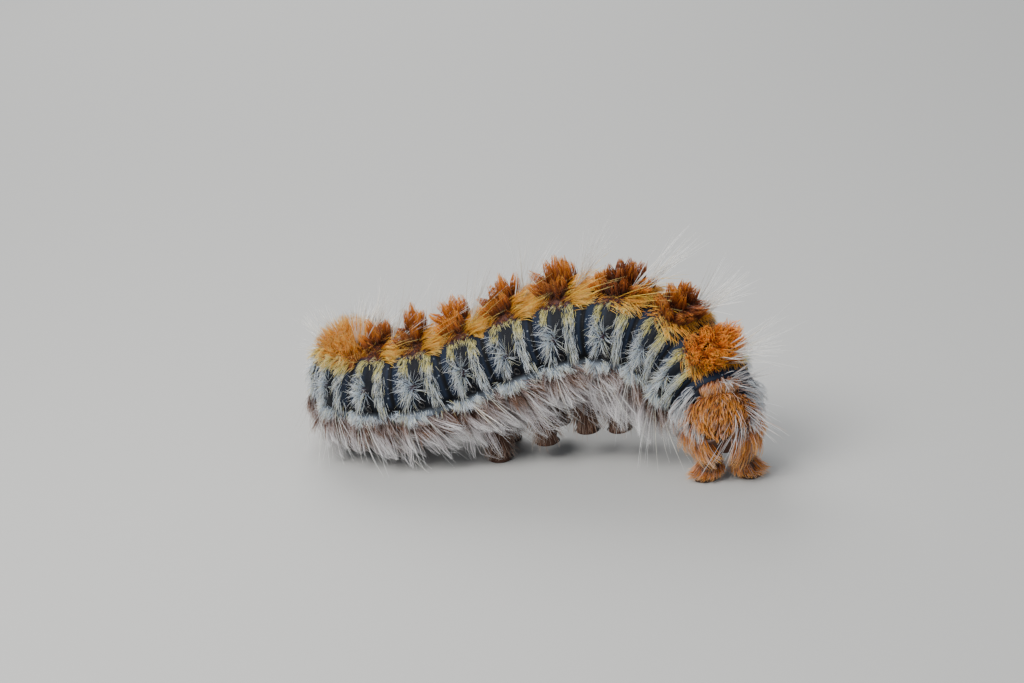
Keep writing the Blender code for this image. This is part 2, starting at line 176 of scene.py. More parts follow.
@dataclass
class BodyPlan:
    """The larva's body line and ring sizes, as the solids have them.

    Places along the body are metres from the back of the head, and angles are radians from the
    middle of the back, positive to the animal's left. Headings are degrees from +X and slopes
    degrees over level towards the tail, both at places counted in rings. Lengths and radii are in
    millimetres. The crease, side line and side lumps are each a share of the radius, the place of
    the middle as a share of the ring or in degrees from the back, and the width.
    """

    lengths: tuple[float, ...] = (2.2, 2.25, 2.25, 2.45, 2.75, 2.9, 3.05, 3.0, 2.8, 2.6, 2.45, 1.75, 1.95)
    radii: tuple[float, ...] = (2.24, 2.55, 2.78, 2.86, 2.91, 2.91, 2.91, 2.91, 2.91, 2.86, 2.71, 2.3, 1.85)
    headings: Profile = (
        (-1, -110), (1, -88), (3, -39), (5, -6.5), (7, -14.5), (9, -27), (11, -65), (13, -106))
    slopes: Profile = ((0, -2.5), (3, 1), (5, 15.5), (6.5, 18), (7.5, 11), (9, -15), (10.5, -36), (11.2, -36),
                       (12, -23), (13, -6))
    foot: tuple[float, float] = (-10.37 * MM, 8.86 * MM)
    front_clearance: float = 1.85 * MM
    belly_flattening: float = 0.10
    side_fold: float = 0.05
    side_fold_angle: float = math.radians(108)
    side_fold_spread: float = math.radians(15)
    furrow: float = 0.10
    furrow_power: float = 3.2
    crease: Point = (0.016, 0.62, 0.035)
    side_line: Point = (0.045, 98.0, 4.0)
    side_lumps: Point = (0.06, 108.0, 9.0)
    plate_height: float = 0.07
    tail_power: float = 2.6
    line_step: float = 0.1 * MM
    line_before: float = 6.0 * MM
    line_after: float = 8.0 * MM
    starts: Array = field(init=False)
    samples: Array = field(init=False)
    line: Array = field(init=False)
    turns: Array = field(init=False)

    def __post_init__(self) -> None:
        """Walks the body line once and keeps its points."""
        self.starts = np.concatenate([[0.0], np.cumsum(np.array(self.lengths) * MM)])
        height = float(self.radius(np.array([0.0]))[0]) * (1 - self.belly_flattening) + self.front_clearance
        origin = np.array([*self.foot, height])
        ahead = self.walk(origin, -self.line_before)
        behind = self.walk(origin, self.length + self.line_after)
        table = np.concatenate([ahead[:0:-1], behind])
        self.samples, self.line = table[:, 0], table[:, 1:]
        self.turns = np.radians(self.heading_degrees(self.samples))

    def walk(self, origin: Array, reach: float) -> Array:
        """Places and points of the body line from its start to a signed length along it."""
        step = math.copysign(self.line_step, reach)
        count = int(abs(reach) / self.line_step)
        middles = (np.arange(count) + 0.5) * step
        turn = np.radians(self.heading_degrees(middles))
        slope = np.radians(self.slope_degrees(middles))
        way = np.stack([np.cos(slope) * np.cos(turn), np.cos(slope) * np.sin(turn), np.sin(slope)], axis=1)
        points = origin + np.concatenate([np.zeros((1, 3)), np.cumsum(way * step, axis=0)])
        return np.column_stack([np.arange(count + 1) * step, points])

    @property
    def rings(self) -> int:
        """How many body rings there are."""
        return len(self.lengths)

    @property
    def length(self) -> float:
        """Length of the body line behind the head."""
        return float(self.starts[-1])

    def ring_place(self, s: Array) -> Array:
        """Places along the body, counted in rings."""
        inner = np.interp(s, self.starts, np.arange(self.rings + 1.0))
        before = s / (self.lengths[0] * MM)
        after = self.rings + (s - self.length) / (self.lengths[-1] * MM)
        return np.where(s < 0, before, np.where(s > self.length, after, inner))

    def heading_degrees(self, s: Array) -> Array:
        """Heading of the body line in degrees from +X."""
        return np.interp(self.ring_place(s), *zip(*self.headings))

    def slope_degrees(self, s: Array) -> Array:
        """Slope of the body line in degrees over level towards the tail."""
        return np.interp(self.ring_place(s), *zip(*self.slopes))

    def radius(self, s: Array) -> Array:
        """Radius of the skin before its folds."""
        middles = (self.starts[1:] + self.starts[:-1]) / 2
        return np.interp(s, middles, np.array(self.radii) * MM)

    def axes(self, s: Array) -> tuple[Array, Array, Array, Array]:
        """The body's frame at places along it.

        Args:
            s: Places along the body.

        Returns:
            The axis point, and the ways to the tail, to the animal's right and up its back.
        """
        def at(places: Array) -> Array:
            """Axis points at places along the body."""
            return np.stack([np.interp(places, self.samples, self.line[:, k]) for k in range(3)], axis=-1)

        turn = np.interp(s, self.samples, self.turns)
        right = np.stack([-np.sin(turn), np.cos(turn), np.zeros_like(turn)], axis=-1)
        along = unit(at(s + 0.2 * MM) - at(s - 0.2 * MM))
        return at(s), along, right, unit(np.cross(along, right))

    def section(self, angle: Array) -> Array:
        """The skin's distance from the axis around the body, as a share of its radius."""
        flat = self.belly_flattening * ((1 - np.cos(angle)) / 2) ** 2
        fold = self.side_fold * bell(np.abs(wrap(angle)), self.side_fold_angle, self.side_fold_spread)
        return 1 - flat + fold

    def share(self, s: Array) -> tuple[Array, Array]:
        """The ring number of each place, and its share of that ring's length from the front."""
        ring = np.clip(self.ring_place(s), 0, self.rings - 1e-6)
        return ring.astype(int), ring - np.floor(ring)

    def skin_reach(self, s: Array, angle: Array) -> Array:
        """Distance of the finished skin from the axis, with furrows, folds and warts.

        Args:
            s: Places along the body.
            angle: Angles from the middle of the back.

        Returns:
            Distances in metres.
        """
        number, share = self.share(s)
        side = np.degrees(np.abs(wrap(angle)))
        last = number == self.rings - 1
        edge = np.where(last & (share > 0.5), 0.0, np.abs(2 * share - 1))
        ring = 1 - self.furrow * edge**self.furrow_power
        depth, place, width = self.crease
        ring -= depth * bell(share, place, width) * (1 - smooth(88, 98, side))
        depth, place, width = self.side_line
        ring -= depth * bell(side, place, width)
        height, place, width = self.side_lumps
        ring += height * bell(side, place, width) * (0.5 + 0.5 * np.cos(2 * math.pi * (share - 0.35)))
        for wart in WARTS:
            ring += np.where(last, 0.0, wart.rise(share, side))
        tufted = (number >= Ring.ABDOMEN_1) & (number <= Ring.ABDOMEN_8)
        plate = window(share, 0.34, 0.72, 0.08) * (1 - smooth(16, 30, side))
        ring += np.where(tufted, self.plate_height * plate, 0.0)
        rounded = np.sqrt(np.clip(1 - share**self.tail_power, 0, 1))
        return self.radius(s) * self.section(angle) * np.where(last, ring * rounded, ring)

    def point(self, s: Array, angle: Array, height: Array) -> Array:
        """Points at heights over the finished skin.

        Args:
            s: Places along the body.
            angle: Angles from the middle of the back.
            height: Heights over the skin.

        Returns:
            Points in the row frame.
        """
        inner = np.minimum(s, self.length - 0.02 * MM)
        middle, _, right, up = self.axes(s)
        reach = self.skin_reach(inner, angle) + height
        way = up * np.cos(angle)[..., None] - right * np.sin(angle)[..., None]
        return middle + way * reach[..., None]

    def find(self, points: Array, block: int = 20000) -> tuple[Array, Array, Array]:
        """Body coordinates of points near the body.

        Args:
            points: Points in the row frame.
            block: How many points to measure at a time.

        Returns:
            Places along the body, angles from the back, and distances from the axis.
        """
        inside = (self.samples >= -1 * MM) & (self.samples <= self.length + 0.5 * MM)
        line, places = self.line[inside], self.samples[inside]
        nearest = np.empty(len(points), dtype=int)
        for start in range(0, len(points), block):
            part = points[start:start + block]
            nearest[start:start + block] = ((part[:, None, :] - line[None]) ** 2).sum(-1).argmin(1)
        along = self.axes(places[nearest])[1]
        s = places[nearest] + ((points - line[nearest]) * along).sum(-1)
        middle, _, right, up = self.axes(s)
        out = points - middle
        across, high = -(out * right).sum(-1), (out * up).sum(-1)
        return s, np.arctan2(across, high), np.hypot(across, high)


def new_object(name: str, mesh: bpy.types.Mesh) -> bpy.types.Object:
    """Links a mesh to the scene as an object at the origin."""
    made = bpy.data.objects.new(name, mesh)
    bpy.context.scene.collection.objects.link(made)
    return made


def mesh_from(name: str, points: Array, faces: Faces) -> bpy.types.Mesh:
    """A smooth-shaded mesh from points and faces, its faces pointing out."""
    mesh = bpy.data.meshes.new(name)
    mesh.from_pydata([tuple(point) for point in points], [], faces)
    work = bmesh.new()
    work.from_mesh(mesh)
    bmesh.ops.recalc_face_normals(work, faces=list(work.faces))
    work.to_mesh(mesh)
    work.free()
    mesh.shade_smooth()
    return mesh


def tube_faces(rows: int, sides: int, tip: bool = False) -> Faces:
    """Faces of a closed tube of rings of points, with a point past its last ring if tip is true.

    Args:
        rows: Number of rings.
        sides: Points in each ring.
        tip: Whether one more point closes the far end.

    Returns:
        Faces as point numbers.
    """
    pairs = [(side, (side + 1) % sides) for side in range(sides)]
    last = (rows - 1) * sides
    faces: Faces = []
    for low in range(0, last, sides):
        faces += [(low + one, low + two, low + sides + two, low + sides + one) for one, two in pairs]
    faces.append(tuple(range(sides)))
    if tip:
        return faces + [(last + one, last + two, rows * sides) for one, two in pairs]
    return faces + [tuple(range(last, last + sides))]


def join_parts(name: str, parts: list[tuple[Array, Faces]]) -> bpy.types.Mesh:
    """One mesh from several sets of points and faces."""
    points, faces, offset = [], [], 0
    for part, sides in parts:
        points.append(part)
        faces += [tuple(corner + offset for corner in side) for side in sides]
        offset += len(part)
    return mesh_from(name, np.concatenate(points), faces)


def dress(made: bpy.types.Object, look: bpy.types.Material, slot: str, *nodes: str) -> None:
    """Gives a piece its material, and lets it ride on the body.

    Args:
        made: The piece.
        look: Its material.
        slot: Name of a material slot; not used.
        nodes: The solids' nodes that it replaces.
    """
    made.data.materials.append(look)
    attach(made, BODY)
    if nodes:
        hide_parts(*nodes)
    LOG.info("%s: %d faces", made.name, len(made.data.polygons))


def store(mesh: bpy.types.Mesh, name: str, kind: str, values: Array) -> None:
    """Writes a FLOAT or FLOAT_VECTOR for each vertex of a mesh as a named attribute."""
    made = mesh.attributes.new(name, kind, "POINT")
    made.data.foreach_set("value" if kind == "FLOAT" else "vector", values.astype(np.float32).ravel())


def union(target: bpy.types.Object, pieces: list[bpy.types.Object]) -> None:
    """Joins closed pieces to a closed object for good, and removes them.

    Args:
        target: The object that stays.
        pieces: The objects that it takes in.
    """
    for piece in pieces:
        join = target.modifiers.new("join", "BOOLEAN")
        join.operation = "UNION"
        join.solver = "MANIFOLD"
        join.object = piece
    graph = bpy.context.evaluated_depsgraph_get()
    joined = bpy.data.meshes.new_from_object(target.evaluated_get(graph))
    target.modifiers.clear()
    target.data = joined
    for piece in pieces:
        bpy.data.objects.remove(piece, do_unlink=True)


@dataclass
class Nodes:
    """A short way to build a node tree."""

    tree: bpy.types.NodeTree

    def add(self, kind: str, **settings: object) -> bpy.types.Node:
        """Adds a node and sets its properties.

        Args:
            kind: The node's type name.
            settings: Property names and values.

        Returns:
            The node.
        """
        node = self.tree.nodes.new(kind)
        for name, value in settings.items():
            setattr(node, name, value)
        return node

    def plug(self, source: object, socket: object) -> None:
        """Sets a socket to a constant, or links an output to it."""
        if isinstance(source, bpy.types.NodeSocket):
            self.tree.links.new(source, socket)
        else:
            socket.default_value = source

    def run(self, kind: str, inputs: dict[str | int, object], **settings: object) -> bpy.types.NodeSocket:
        """Adds a node with its inputs set or linked.

        Args:
            kind: The node's type name.
            inputs: Sockets or constants for its inputs, by name or number.
            settings: Property names and values.

        Returns:
            The node's first output.
        """
        node = self.add(kind, **settings)
        for key, source in inputs.items():
            self.plug(source, node.inputs[key])
        return node.outputs[0]

    def math(self, operation: str, *sources: object, clamp: bool = False) -> bpy.types.NodeSocket:
        """A Math node's result for sockets or numbers."""
        return self.run("ShaderNodeMath", dict(enumerate(sources)), operation=operation, use_clamp=clamp)

    def vector(self, operation: str, first: object, second: object) -> bpy.types.NodeSocket:
        """A Vector Math node's vector result for two sockets or vectors."""
        return self.run("ShaderNodeVectorMath", {0: first, 1: second}, operation=operation)

    def scaled(self, vector: object, factor: object) -> bpy.types.NodeSocket:
        """A vector times a number."""
        return self.run("ShaderNodeVectorMath", {0: vector, "Scale": factor}, operation="SCALE")

    def mix(self, factor: object, first: object, second: object) -> bpy.types.NodeSocket:
        """A colour mixed from two."""
        mixed = self.run("ShaderNodeMix", {0: factor, 6: first, 7: second}, data_type="RGBA")
        return mixed.node.outputs[2]

    def attribute(self, name: str) -> bpy.types.NodeSocket:
        """A mesh attribute's number, for a shader."""
        node = self.add("ShaderNodeAttribute", attribute_type="GEOMETRY", attribute_name=name)
        return node.outputs["Fac"]

    def noise(self, scale: float, detail: float = 3.0, rough: float = 0.55) -> bpy.types.NodeSocket:
        """Noise over Object coordinates, in features per metre."""
        where = self.add("ShaderNodeTexCoord").outputs["Object"]
        made = {"Vector": where, "Scale": scale, "Detail": detail, "Roughness": rough}
        return self.run("ShaderNodeTexNoise", made).node.outputs["Fac"]

    def ramp(self, factor: object, stops: Stops) -> bpy.types.NodeSocket:
        """A colour ramp over a factor."""
        result = self.run("ShaderNodeValToRGB", {0: factor})
        elements = result.node.color_ramp.elements
        while len(elements) < len(stops):
            elements.new(0.5)
        for element, (place, *colour) in zip(elements, stops):
            element.position = place
            element.color = srgb(*colour)
        return result

    def named(self, name: str, kind: str) -> bpy.types.NodeSocket:
        """A stored attribute's value, for a geometry tree."""
        value = self.run("GeometryNodeInputNamedAttribute", {"Name": name}, data_type=kind)
        return value.node.outputs["Attribute"]

    def keep(self, shape: object, name: str, value: object, kind: str,
             where: str = "POINT") -> bpy.types.NodeSocket:
        """Stores a value on a shape as a named attribute."""
        inputs = {"Geometry": shape, "Name": name, "Value": value}
        return self.run("GeometryNodeStoreNamedAttribute", inputs, data_type=kind, domain=where)


def shader(name: str) -> tuple[bpy.types.Material, Nodes, bpy.types.Node]:
    """A new material with its node helper and its Principled shader."""
    made = bpy.data.materials.new(name)
    made.use_nodes = True
    return made, Nodes(made.node_tree), made.node_tree.nodes["Principled BSDF"]


def bump(nodes: Nodes, shade: bpy.types.Node, height: object, distance: float, strength: float) -> None:
    """Gives a shader relief from a height, in metres at full height."""
    relief = nodes.run("ShaderNodeBump", {"Height": height, "Distance": distance, "Strength": strength})
    nodes.plug(relief, shade.inputs["Normal"])


def dial(shade: bpy.types.Node, **values: float) -> None:
    """Sets a shader's inputs by their names, with underscores for spaces."""
    for name, value in values.items():
        shade.inputs[name.replace("_", " ")].default_value = value


@dataclass(frozen=True)
class SkinFinish:
    """Slate skin with its pattern, from the skin's own attributes."""

    navy: Shade = srgb(11, 16, 27)
    mottle: Shade = srgb(7, 10, 17)
    layers: tuple[tuple[Mark, Shade, float], ...] = (
        (Mark.PALE, srgb(36, 45, 60), 0.75),
        (Mark.SLATE, srgb(28, 39, 58), 0.85),
        (Mark.PLUM, srgb(74, 56, 64), 0.9),
        (Mark.GOLD, srgb(128, 74, 26), 0.95),
        (Mark.MIRROR, srgb(62, 28, 12), 1.0),
        (Mark.UNDER, srgb(84, 64, 52), 1.0),
        (Mark.FOLD, srgb(128, 138, 150), 0.9),
        (Mark.FOOT, srgb(74, 52, 42), 1.0),
        (Mark.GROOVE, srgb(5, 6, 9), 0.95),
    )
    speck: Shade = srgb(170, 180, 190)
    specks_per_metre: float = 3400.0
    speck_size: float = 0.16
    roughness: float = 0.55
    specular: float = 0.16
    relief: float = 0.05 * MM

    def make(self) -> bpy.types.Material:
        """Builds the material."""
        made, nodes, shade = shader("larva_skin")
        colour = nodes.mix(nodes.noise(2600.0, 4.0), self.navy, self.mottle)
        breakup = nodes.math("MULTIPLY_ADD", nodes.noise(5200.0), 0.9, 0.55)
        for mark, tint, strength in self.layers:
            amount = nodes.math("MULTIPLY", nodes.attribute(mark.value), strength)
            colour = nodes.mix(nodes.math("MULTIPLY", amount, breakup, clamp=True), colour, tint)
        where = nodes.add("ShaderNodeTexCoord").outputs["Object"]
        specks = nodes.run("ShaderNodeTexVoronoi", {"Vector": where, "Scale": self.specks_per_metre}).node
        near = nodes.math("LESS_THAN", specks.outputs["Distance"], self.speck_size)
        dots = nodes.math("MULTIPLY", near, nodes.attribute(Mark.SLATE.value))
        colour = nodes.mix(nodes.math("MULTIPLY", dots, 0.5), colour, self.speck)
        nodes.plug(colour, shade.inputs["Base Color"])
        dial(shade, Roughness=self.roughness, Specular_IOR_Level=self.specular)
        bump(nodes, shade, nodes.noise(9000.0, 4.0, 0.6), self.relief, 0.8)
        return made


@dataclass(frozen=True)
class HairFinish:
    """Hair coloured from root to tip, between two sets of colours, and varied from hair to hair."""

    name: str
    first: Stops
    second: Stops
    spread: float = 0.5
    roughness: float = 0.48
    specular: float = 0.35
    sheen: float = 0.06

    def make(self) -> bpy.types.Material:
        """Builds the material."""
        made, nodes, shade = shader(self.name)
        along = nodes.attribute("along")
        tone = nodes.attribute("tone")
        first, second = nodes.ramp(along, self.first), nodes.ramp(along, self.second)
        colour = nodes.mix(nodes.attribute("blend"), first, second)
        light = nodes.math("MULTIPLY_ADD", tone, self.spread, 1 - self.spread / 2)
        nodes.plug(nodes.scaled(colour, light), shade.inputs["Base Color"])
        dial(shade, Roughness=self.roughness, Specular_IOR_Level=self.specular, Sheen_Weight=self.sheen,
             Sheen_Roughness=0.4)
        return made


CREST_HAIR = HairFinish(
    "crest_hair",
    ((0.0, 42, 20, 14), (0.35, 108, 48, 14), (0.7, 214, 114, 22), (1.0, 252, 178, 70)),
    ((0.0, 32, 15, 13), (0.45, 64, 29, 17), (0.8, 126, 58, 18), (1.0, 186, 100, 38)),
)
GOLD_HAIR = HairFinish(
    "gold_hair",
    ((0.0, 138, 72, 10), (0.35, 218, 132, 22), (1.0, 255, 196, 88)),
    ((0.0, 178, 130, 26), (0.5, 242, 200, 72), (1.0, 255, 238, 164)),
)
FRONT_HAIR = HairFinish(
    "front_hair",
    ((0.0, 156, 84, 18), (0.4, 226, 140, 34), (1.0, 248, 190, 88)),
    ((0.0, 178, 144, 54), (0.5, 226, 202, 108), (1.0, 244, 232, 172)),
)
FLANK_HAIR = HairFinish(
    "flank_hair",
    ((0.0, 70, 84, 106), (0.25, 184, 200, 216), (1.0, 255, 255, 255)),
    ((0.0, 150, 134, 44), (0.35, 226, 212, 106), (1.0, 250, 244, 184)),
    spread=0.7,
)
# The second colours, for the under-hair, are the hair's own brown made darker, so that they also paint the
# shade in the gaps between the locks.
FRINGE_HAIR = HairFinish(
    "fringe_hair",
    ((0.0, 82, 62, 54), (0.25, 146, 130, 126), (0.55, 222, 216, 218), (1.0, 255, 255, 255)),
    ((0.0, 38, 21, 14), (0.4, 84, 50, 32), (0.8, 138, 96, 68), (1.0, 190, 160, 138)),
)
LONG_HAIR = HairFinish(
    "long_hair",
    ((0.0, 220, 218, 212), (0.5, 244, 244, 242), (1.0, 255, 255, 254)),
    ((0.0, 214, 196, 150), (0.5, 240, 230, 200), (1.0, 252, 248, 234)),
)
BELLY_HAIR = HairFinish(
    "belly_hair",
    ((0.0, 96, 74, 62), (0.5, 152, 134, 120), (1.0, 212, 202, 192)),
    ((0.0, 84, 48, 30), (0.5, 134, 86, 58), (1.0, 188, 148, 118)),
)
TAIL_HAIR = HairFinish(
    "tail_hair",
    ((0.0, 140, 142, 146), (0.35, 206, 210, 214), (1.0, 248, 249, 250)),
    ((0.0, 112, 56, 12), (0.4, 200, 114, 24), (1.0, 244, 180, 88)),
)
HEAD_HAIR = HairFinish(
    "head_hair",
    ((0.0, 96, 74, 52), (0.5, 176, 156, 124), (1.0, 238, 230, 208)),
    ((0.0, 60, 40, 26), (0.5, 132, 96, 58), (1.0, 214, 178, 124)),
)


@dataclass(frozen=True)
class ShellFinish:
    """Hard glossy shell, such as the head's, the legs' and the small eyes'."""

    name: str
    deep: Shade
    light: Shade
    roughness: float
    scale: float = 3000.0
    relief: float = 0.02 * MM
    coat: float = 0.35
    coat_roughness: float = 0.18

    def make(self) -> bpy.types.Material:
        """Builds the material."""
        made, nodes, shade = shader(self.name)
        mottle = nodes.noise(self.scale, 4.0)
        share = nodes.math("MULTIPLY", nodes.math("POWER", mottle, 2.0), 1.3, clamp=True)
        nodes.plug(nodes.mix(share, self.deep, self.light), shade.inputs["Base Color"])
        rough = nodes.math("MULTIPLY_ADD", mottle, 0.25, self.roughness - 0.1)
        nodes.plug(rough, shade.inputs["Roughness"])
        dial(shade, Coat_Weight=self.coat, Coat_Roughness=self.coat_roughness)
        bump(nodes, shade, nodes.noise(self.scale * 2.4), self.relief, 0.7)
        return made


@dataclass(frozen=True)
class FloorFinish:
    """A plain pale studio floor with a faint grain."""

    tint: Shade = srgb(174, 174, 172)
    grain: Shade = srgb(162, 163, 163)
    roughness: float = 0.7

    def make(self) -> bpy.types.Material:
        """Builds the material."""
        made, nodes, shade = shader("floor")
        share = nodes.math("MULTIPLY", nodes.noise(900.0, 2.0), 0.12)
        nodes.plug(nodes.mix(share, self.tint, self.grain), shade.inputs["Base Color"])
        dial(shade, Roughness=self.roughness)
        return made


@dataclass
class Markings:
    """Where the skin's pattern lies on the body."""

    plan: BodyPlan

    def masks(self, s: Array, angle: Array) -> dict[Mark, Array]:
        """The weight of each mark at places on the skin.

        Args:
            s: Places along the body.
            angle: Angles from the middle of the back.

        Returns:
            A weight from 0 to 1 for each mark.
        """
        number, share = self.plan.share(s)
        side = np.degrees(np.abs(wrap(angle)))
        return self.back(number, share, side) | self.flank(number, share, side)

    def back(self, number: Array, share: Array, side: Array) -> dict[Mark, Array]:
        """The marks of the back: bare plates, golden skin and plum edges.

        Args:
            number: Ring numbers.
            share: Shares of the ring's length from its front.
            side: Degrees from the back.

        Returns:
            A weight from 0 to 1 for each mark.
        """
        tufted = (number >= Ring.ABDOMEN_1) & (number <= Ring.ABDOMEN_8)
        bare = (number >= Ring.ABDOMEN_6) & (number <= Ring.ABDOMEN_8)
        ninth, tenth = number == Ring.ABDOMEN_9, number == Ring.ABDOMEN_10
        wide = np.where(number == Ring.ABDOMEN_6, 0.12, 0.0)
        mirror = smooth(0.26, 0.36, share + wide) * (1 - smooth(0.74, 0.82, share - wide))
        mirror = mirror * (1 - smooth(20, 26, side)) * tufted
        rear_half = smooth(0.56, 0.66, share)
        gold = (1 - smooth(27, 33, side)) * np.where(bare, window(share, 0.24, 0.84, 0.06), 1.0)
        gold = gold * np.where(ninth, rear_half, 1.0)
        front = np.where(number < Ring.ABDOMEN_1, 1 - smooth(40, 50, side), 0.0)
        plate = np.where(ninth, rear_half * (1 - smooth(26, 34, side)), 0.0)
        rear = np.where(tenth, smooth(0.04, 0.14, share) * (1 - smooth(64, 84, side)), 0.0)
        rear = np.maximum(rear, np.where(tenth, smooth(0.7, 0.85, share), 0.0))
        plum = window(side, 20, 37, 4) * window(share, 0.28, 0.76, 0.06) * tufted
        wart = bell(share, 0.45, 0.055) * bell(side, 72, 3.2) * (number >= 2) * (number <= Ring.ABDOMEN_8)
        return {
            Mark.MIRROR: np.clip(mirror + plate + 0.5 * rear, 0, 1),
            Mark.GOLD: np.clip(np.maximum(gold * (1 - 0.6 * plum), front) + rear, 0, 1),
            Mark.PLUM: np.clip(plum + wart, 0, 1),
        }

    def flank(self, number: Array, share: Array, side: Array) -> dict[Mark, Array]:
        """The marks of the sides and the belly: pale bands, slate stripes, grooves, fold and underside.

        Args:
            number: Ring numbers.
            share: Shares of the ring's length from its front.
            side: Degrees from the back.

        Returns:
            A weight from 0 to 1 for each mark.
        """
        bands = window(share, 0.26, 0.44, 0.05) + window(share, 0.66, 0.88, 0.05)
        edge = np.minimum(share, 1 - share)
        stripe = np.maximum(1 - smooth(0.20, 0.25, share), smooth(0.89, 0.93, share))
        slate = stripe * smooth(0.025, 0.065, edge) * window(side, 29, 93, 3)
        dark_ring = (1 - smooth(0.50, 0.58, share)) * (1 - smooth(70, 85, side))
        groove = (1 - smooth(0.015, 0.05, edge)) * window(side, 27, 101, 4)
        line = window(side, 96, 101, 1.5) * (0.45 + 0.55 * (1 - smooth(0.18, 0.3, edge)))
        return {
            Mark.PALE: np.clip(bands, 0, 1) * window(side, 36, 92, 6),
            Mark.SLATE: np.maximum(slate, np.where(number == Ring.ABDOMEN_9, dark_ring, 0.0)),
            Mark.GROOVE: np.maximum(groove, line),
            Mark.FOLD: window(side, 101, 114, 3) * np.where(share < 0.62, 1.0, 0.45),
            Mark.UNDER: smooth(112, 122, side),
        }


@dataclass
class HairTree:
    """A node tree that grows one solid, tapered, bent hair from each vertex of a mesh of roots."""

    patch: float = 0.003
    taper: float = 1.5
    tree: bpy.types.NodeTree = field(init=False)
    inputs: dict[str, str] = field(init=False, default_factory=dict)

    def __post_init__(self) -> None:
        """Builds the tree."""
        self.tree = bpy.data.node_groups.new("solid_hairs", "GeometryNodeTree")
        face = self.tree.interface
        face.new_socket("Geometry", in_out="OUTPUT", socket_type="NodeSocketGeometry")
        kinds = {"Roots": "Geometry", "Points": "Int", "Sides": "Int", "Patch": "Float", "Tip": "Float",
                 "Wobble": "Float", "Seed": "Int", "Finish": "Material"}
        for name, kind in kinds.items():
            made = face.new_socket(name, in_out="INPUT", socket_type="NodeSocket" + kind)
            self.inputs[name] = made.identifier
        nodes = Nodes(self.tree)
        given = nodes.add("NodeGroupInput").outputs
        strand = self.strand(nodes, given["Points"])
        placed = nodes.run("GeometryNodeInstanceOnPoints", {"Points": given["Roots"], "Instance": strand})
        curves = nodes.run("GeometryNodeRealizeInstances", {0: placed})
        solid = self.thicken(nodes, self.bend(nodes, curves, given), given)
        mapped = self.unwrap(nodes, solid, given["Patch"])
        shade = nodes.run("GeometryNodeSetShadeSmooth", {"Geometry": mapped})
        whole = nodes.run("GeometryNodeRealizeInstances", {0: shade})
        dressed = nodes.run("GeometryNodeSetMaterial", {"Geometry": whole, "Material": given["Finish"]})
        nodes.plug(dressed, nodes.add("NodeGroupOutput").inputs[0])

    def strand(self, nodes: Nodes, points: object) -> bpy.types.NodeSocket:
        """A straight curve of evenly spaced points that knows how far along itself each one is."""
        line = nodes.run("GeometryNodeCurvePrimitiveLine", {})
        even = nodes.run("GeometryNodeResampleCurve", {"Curve": line, "Count": points})
        along = nodes.add("GeometryNodeSplineParameter").outputs["Factor"]
        return nodes.keep(even, "along", along, "FLOAT")

    def bend(self, nodes: Nodes, curves: object, given: object) -> bpy.types.NodeSocket:
        """Moves every strand's points to its own bent path from its root."""
        along = nodes.named("along", "FLOAT")
        left = nodes.math("SUBTRACT", 1.0, along)
        swell = nodes.math("MULTIPLY", nodes.math("MULTIPLY", along, left), 2.0)
        bowed = nodes.scaled(nodes.named("bow", "FLOAT_VECTOR"), swell)
        reached = nodes.scaled(nodes.named("reach", "FLOAT_VECTOR"), nodes.math("MULTIPLY", along, along))
        ends = {0: (-1.0, -1.0, -1.0), "Seed": given["Seed"]}
        chance = nodes.run("FunctionNodeRandomValue", ends, data_type="FLOAT_VECTOR")
        wave = nodes.scaled(chance, nodes.math("MULTIPLY", swell, given["Wobble"]))
        place = nodes.vector("ADD", nodes.named("root", "FLOAT_VECTOR"), bowed)
        place = nodes.vector("ADD", nodes.vector("ADD", place, reached), wave)
        return nodes.run("GeometryNodeSetPosition", {"Geometry": curves, "Position": place})

    def thicken(self, nodes: Nodes, curves: object, given: object) -> bpy.types.NodeSocket:
        """Gives the bent strands a solid section that thins towards the tip."""
        gone = nodes.math("SUBTRACT", 1.0, given["Tip"])
        thin = nodes.math("MULTIPLY", nodes.math("POWER", nodes.named("along", "FLOAT"), self.taper), gone)
        radius = nodes.math("MULTIPLY", nodes.named("size", "FLOAT"), nodes.math("SUBTRACT", 1.0, thin))
        sized = nodes.run("GeometryNodeSetCurveRadius", {"Curve": curves, "Radius": radius})
        ring = nodes.run("GeometryNodeCurvePrimitiveCircle", {"Resolution": given["Sides"], "Radius": 1.0})
        turn = nodes.add("GeometryNodeSplineParameter").outputs["Factor"]
        profile = nodes.keep(ring, "around", turn, "FLOAT")
        parts = {"Curve": sized, "Profile Curve": profile, "Fill Caps": True}
        solid = nodes.run("GeometryNodeCurveToMesh", parts)
        if "Scale" in solid.node.inputs:
            nodes.plug(radius, solid.node.inputs["Scale"])
        return solid

    def unwrap(self, nodes: Nodes, solid: object, patch: object) -> bpy.types.NodeSocket:
        """Gives each hair a small patch at its root's place on the skin's unwrap."""
        along, around = nodes.named("along", "FLOAT"), nodes.named("around", "FLOAT")
        local = nodes.scaled(nodes.run("ShaderNodeCombineXYZ", {0: along, 1: around}), patch)
        here = nodes.vector("ADD", nodes.named("place", "FLOAT_VECTOR"), local)
        return nodes.keep(solid, "OFBake", here, "FLOAT2", "CORNER")


@dataclass(frozen=True)
class Tufts:
    """One kind of tuft: where it grows on a ring, and how its hairs lie.

    Shares are of the ring's length from its front, sides are degrees from the back, and sizes are
    in millimetres. The lie says how far hairs go out from the skin, back and down it. Spread is
    how far roots stray, gather how far tips close up, arc how far hairs bow, and blend the share
    of the finish's second colours. A star is the share and side that hairs point away from, and
    how strongly.
    """

    share: tuple[float, float]
    side: tuple[float, float]
    length: tuple[float, float]
    lie: Point
    tufts: int
    hairs: int
    spread: float = 0.25
    gather: float = 0.4
    arc: float = 0.12
    stray: float = 0.25
    size: float = 0.022
    blend: float = 0.0
    blend_spread: float = 0.3
    star: Point = (0.0, 0.0, 0.0)


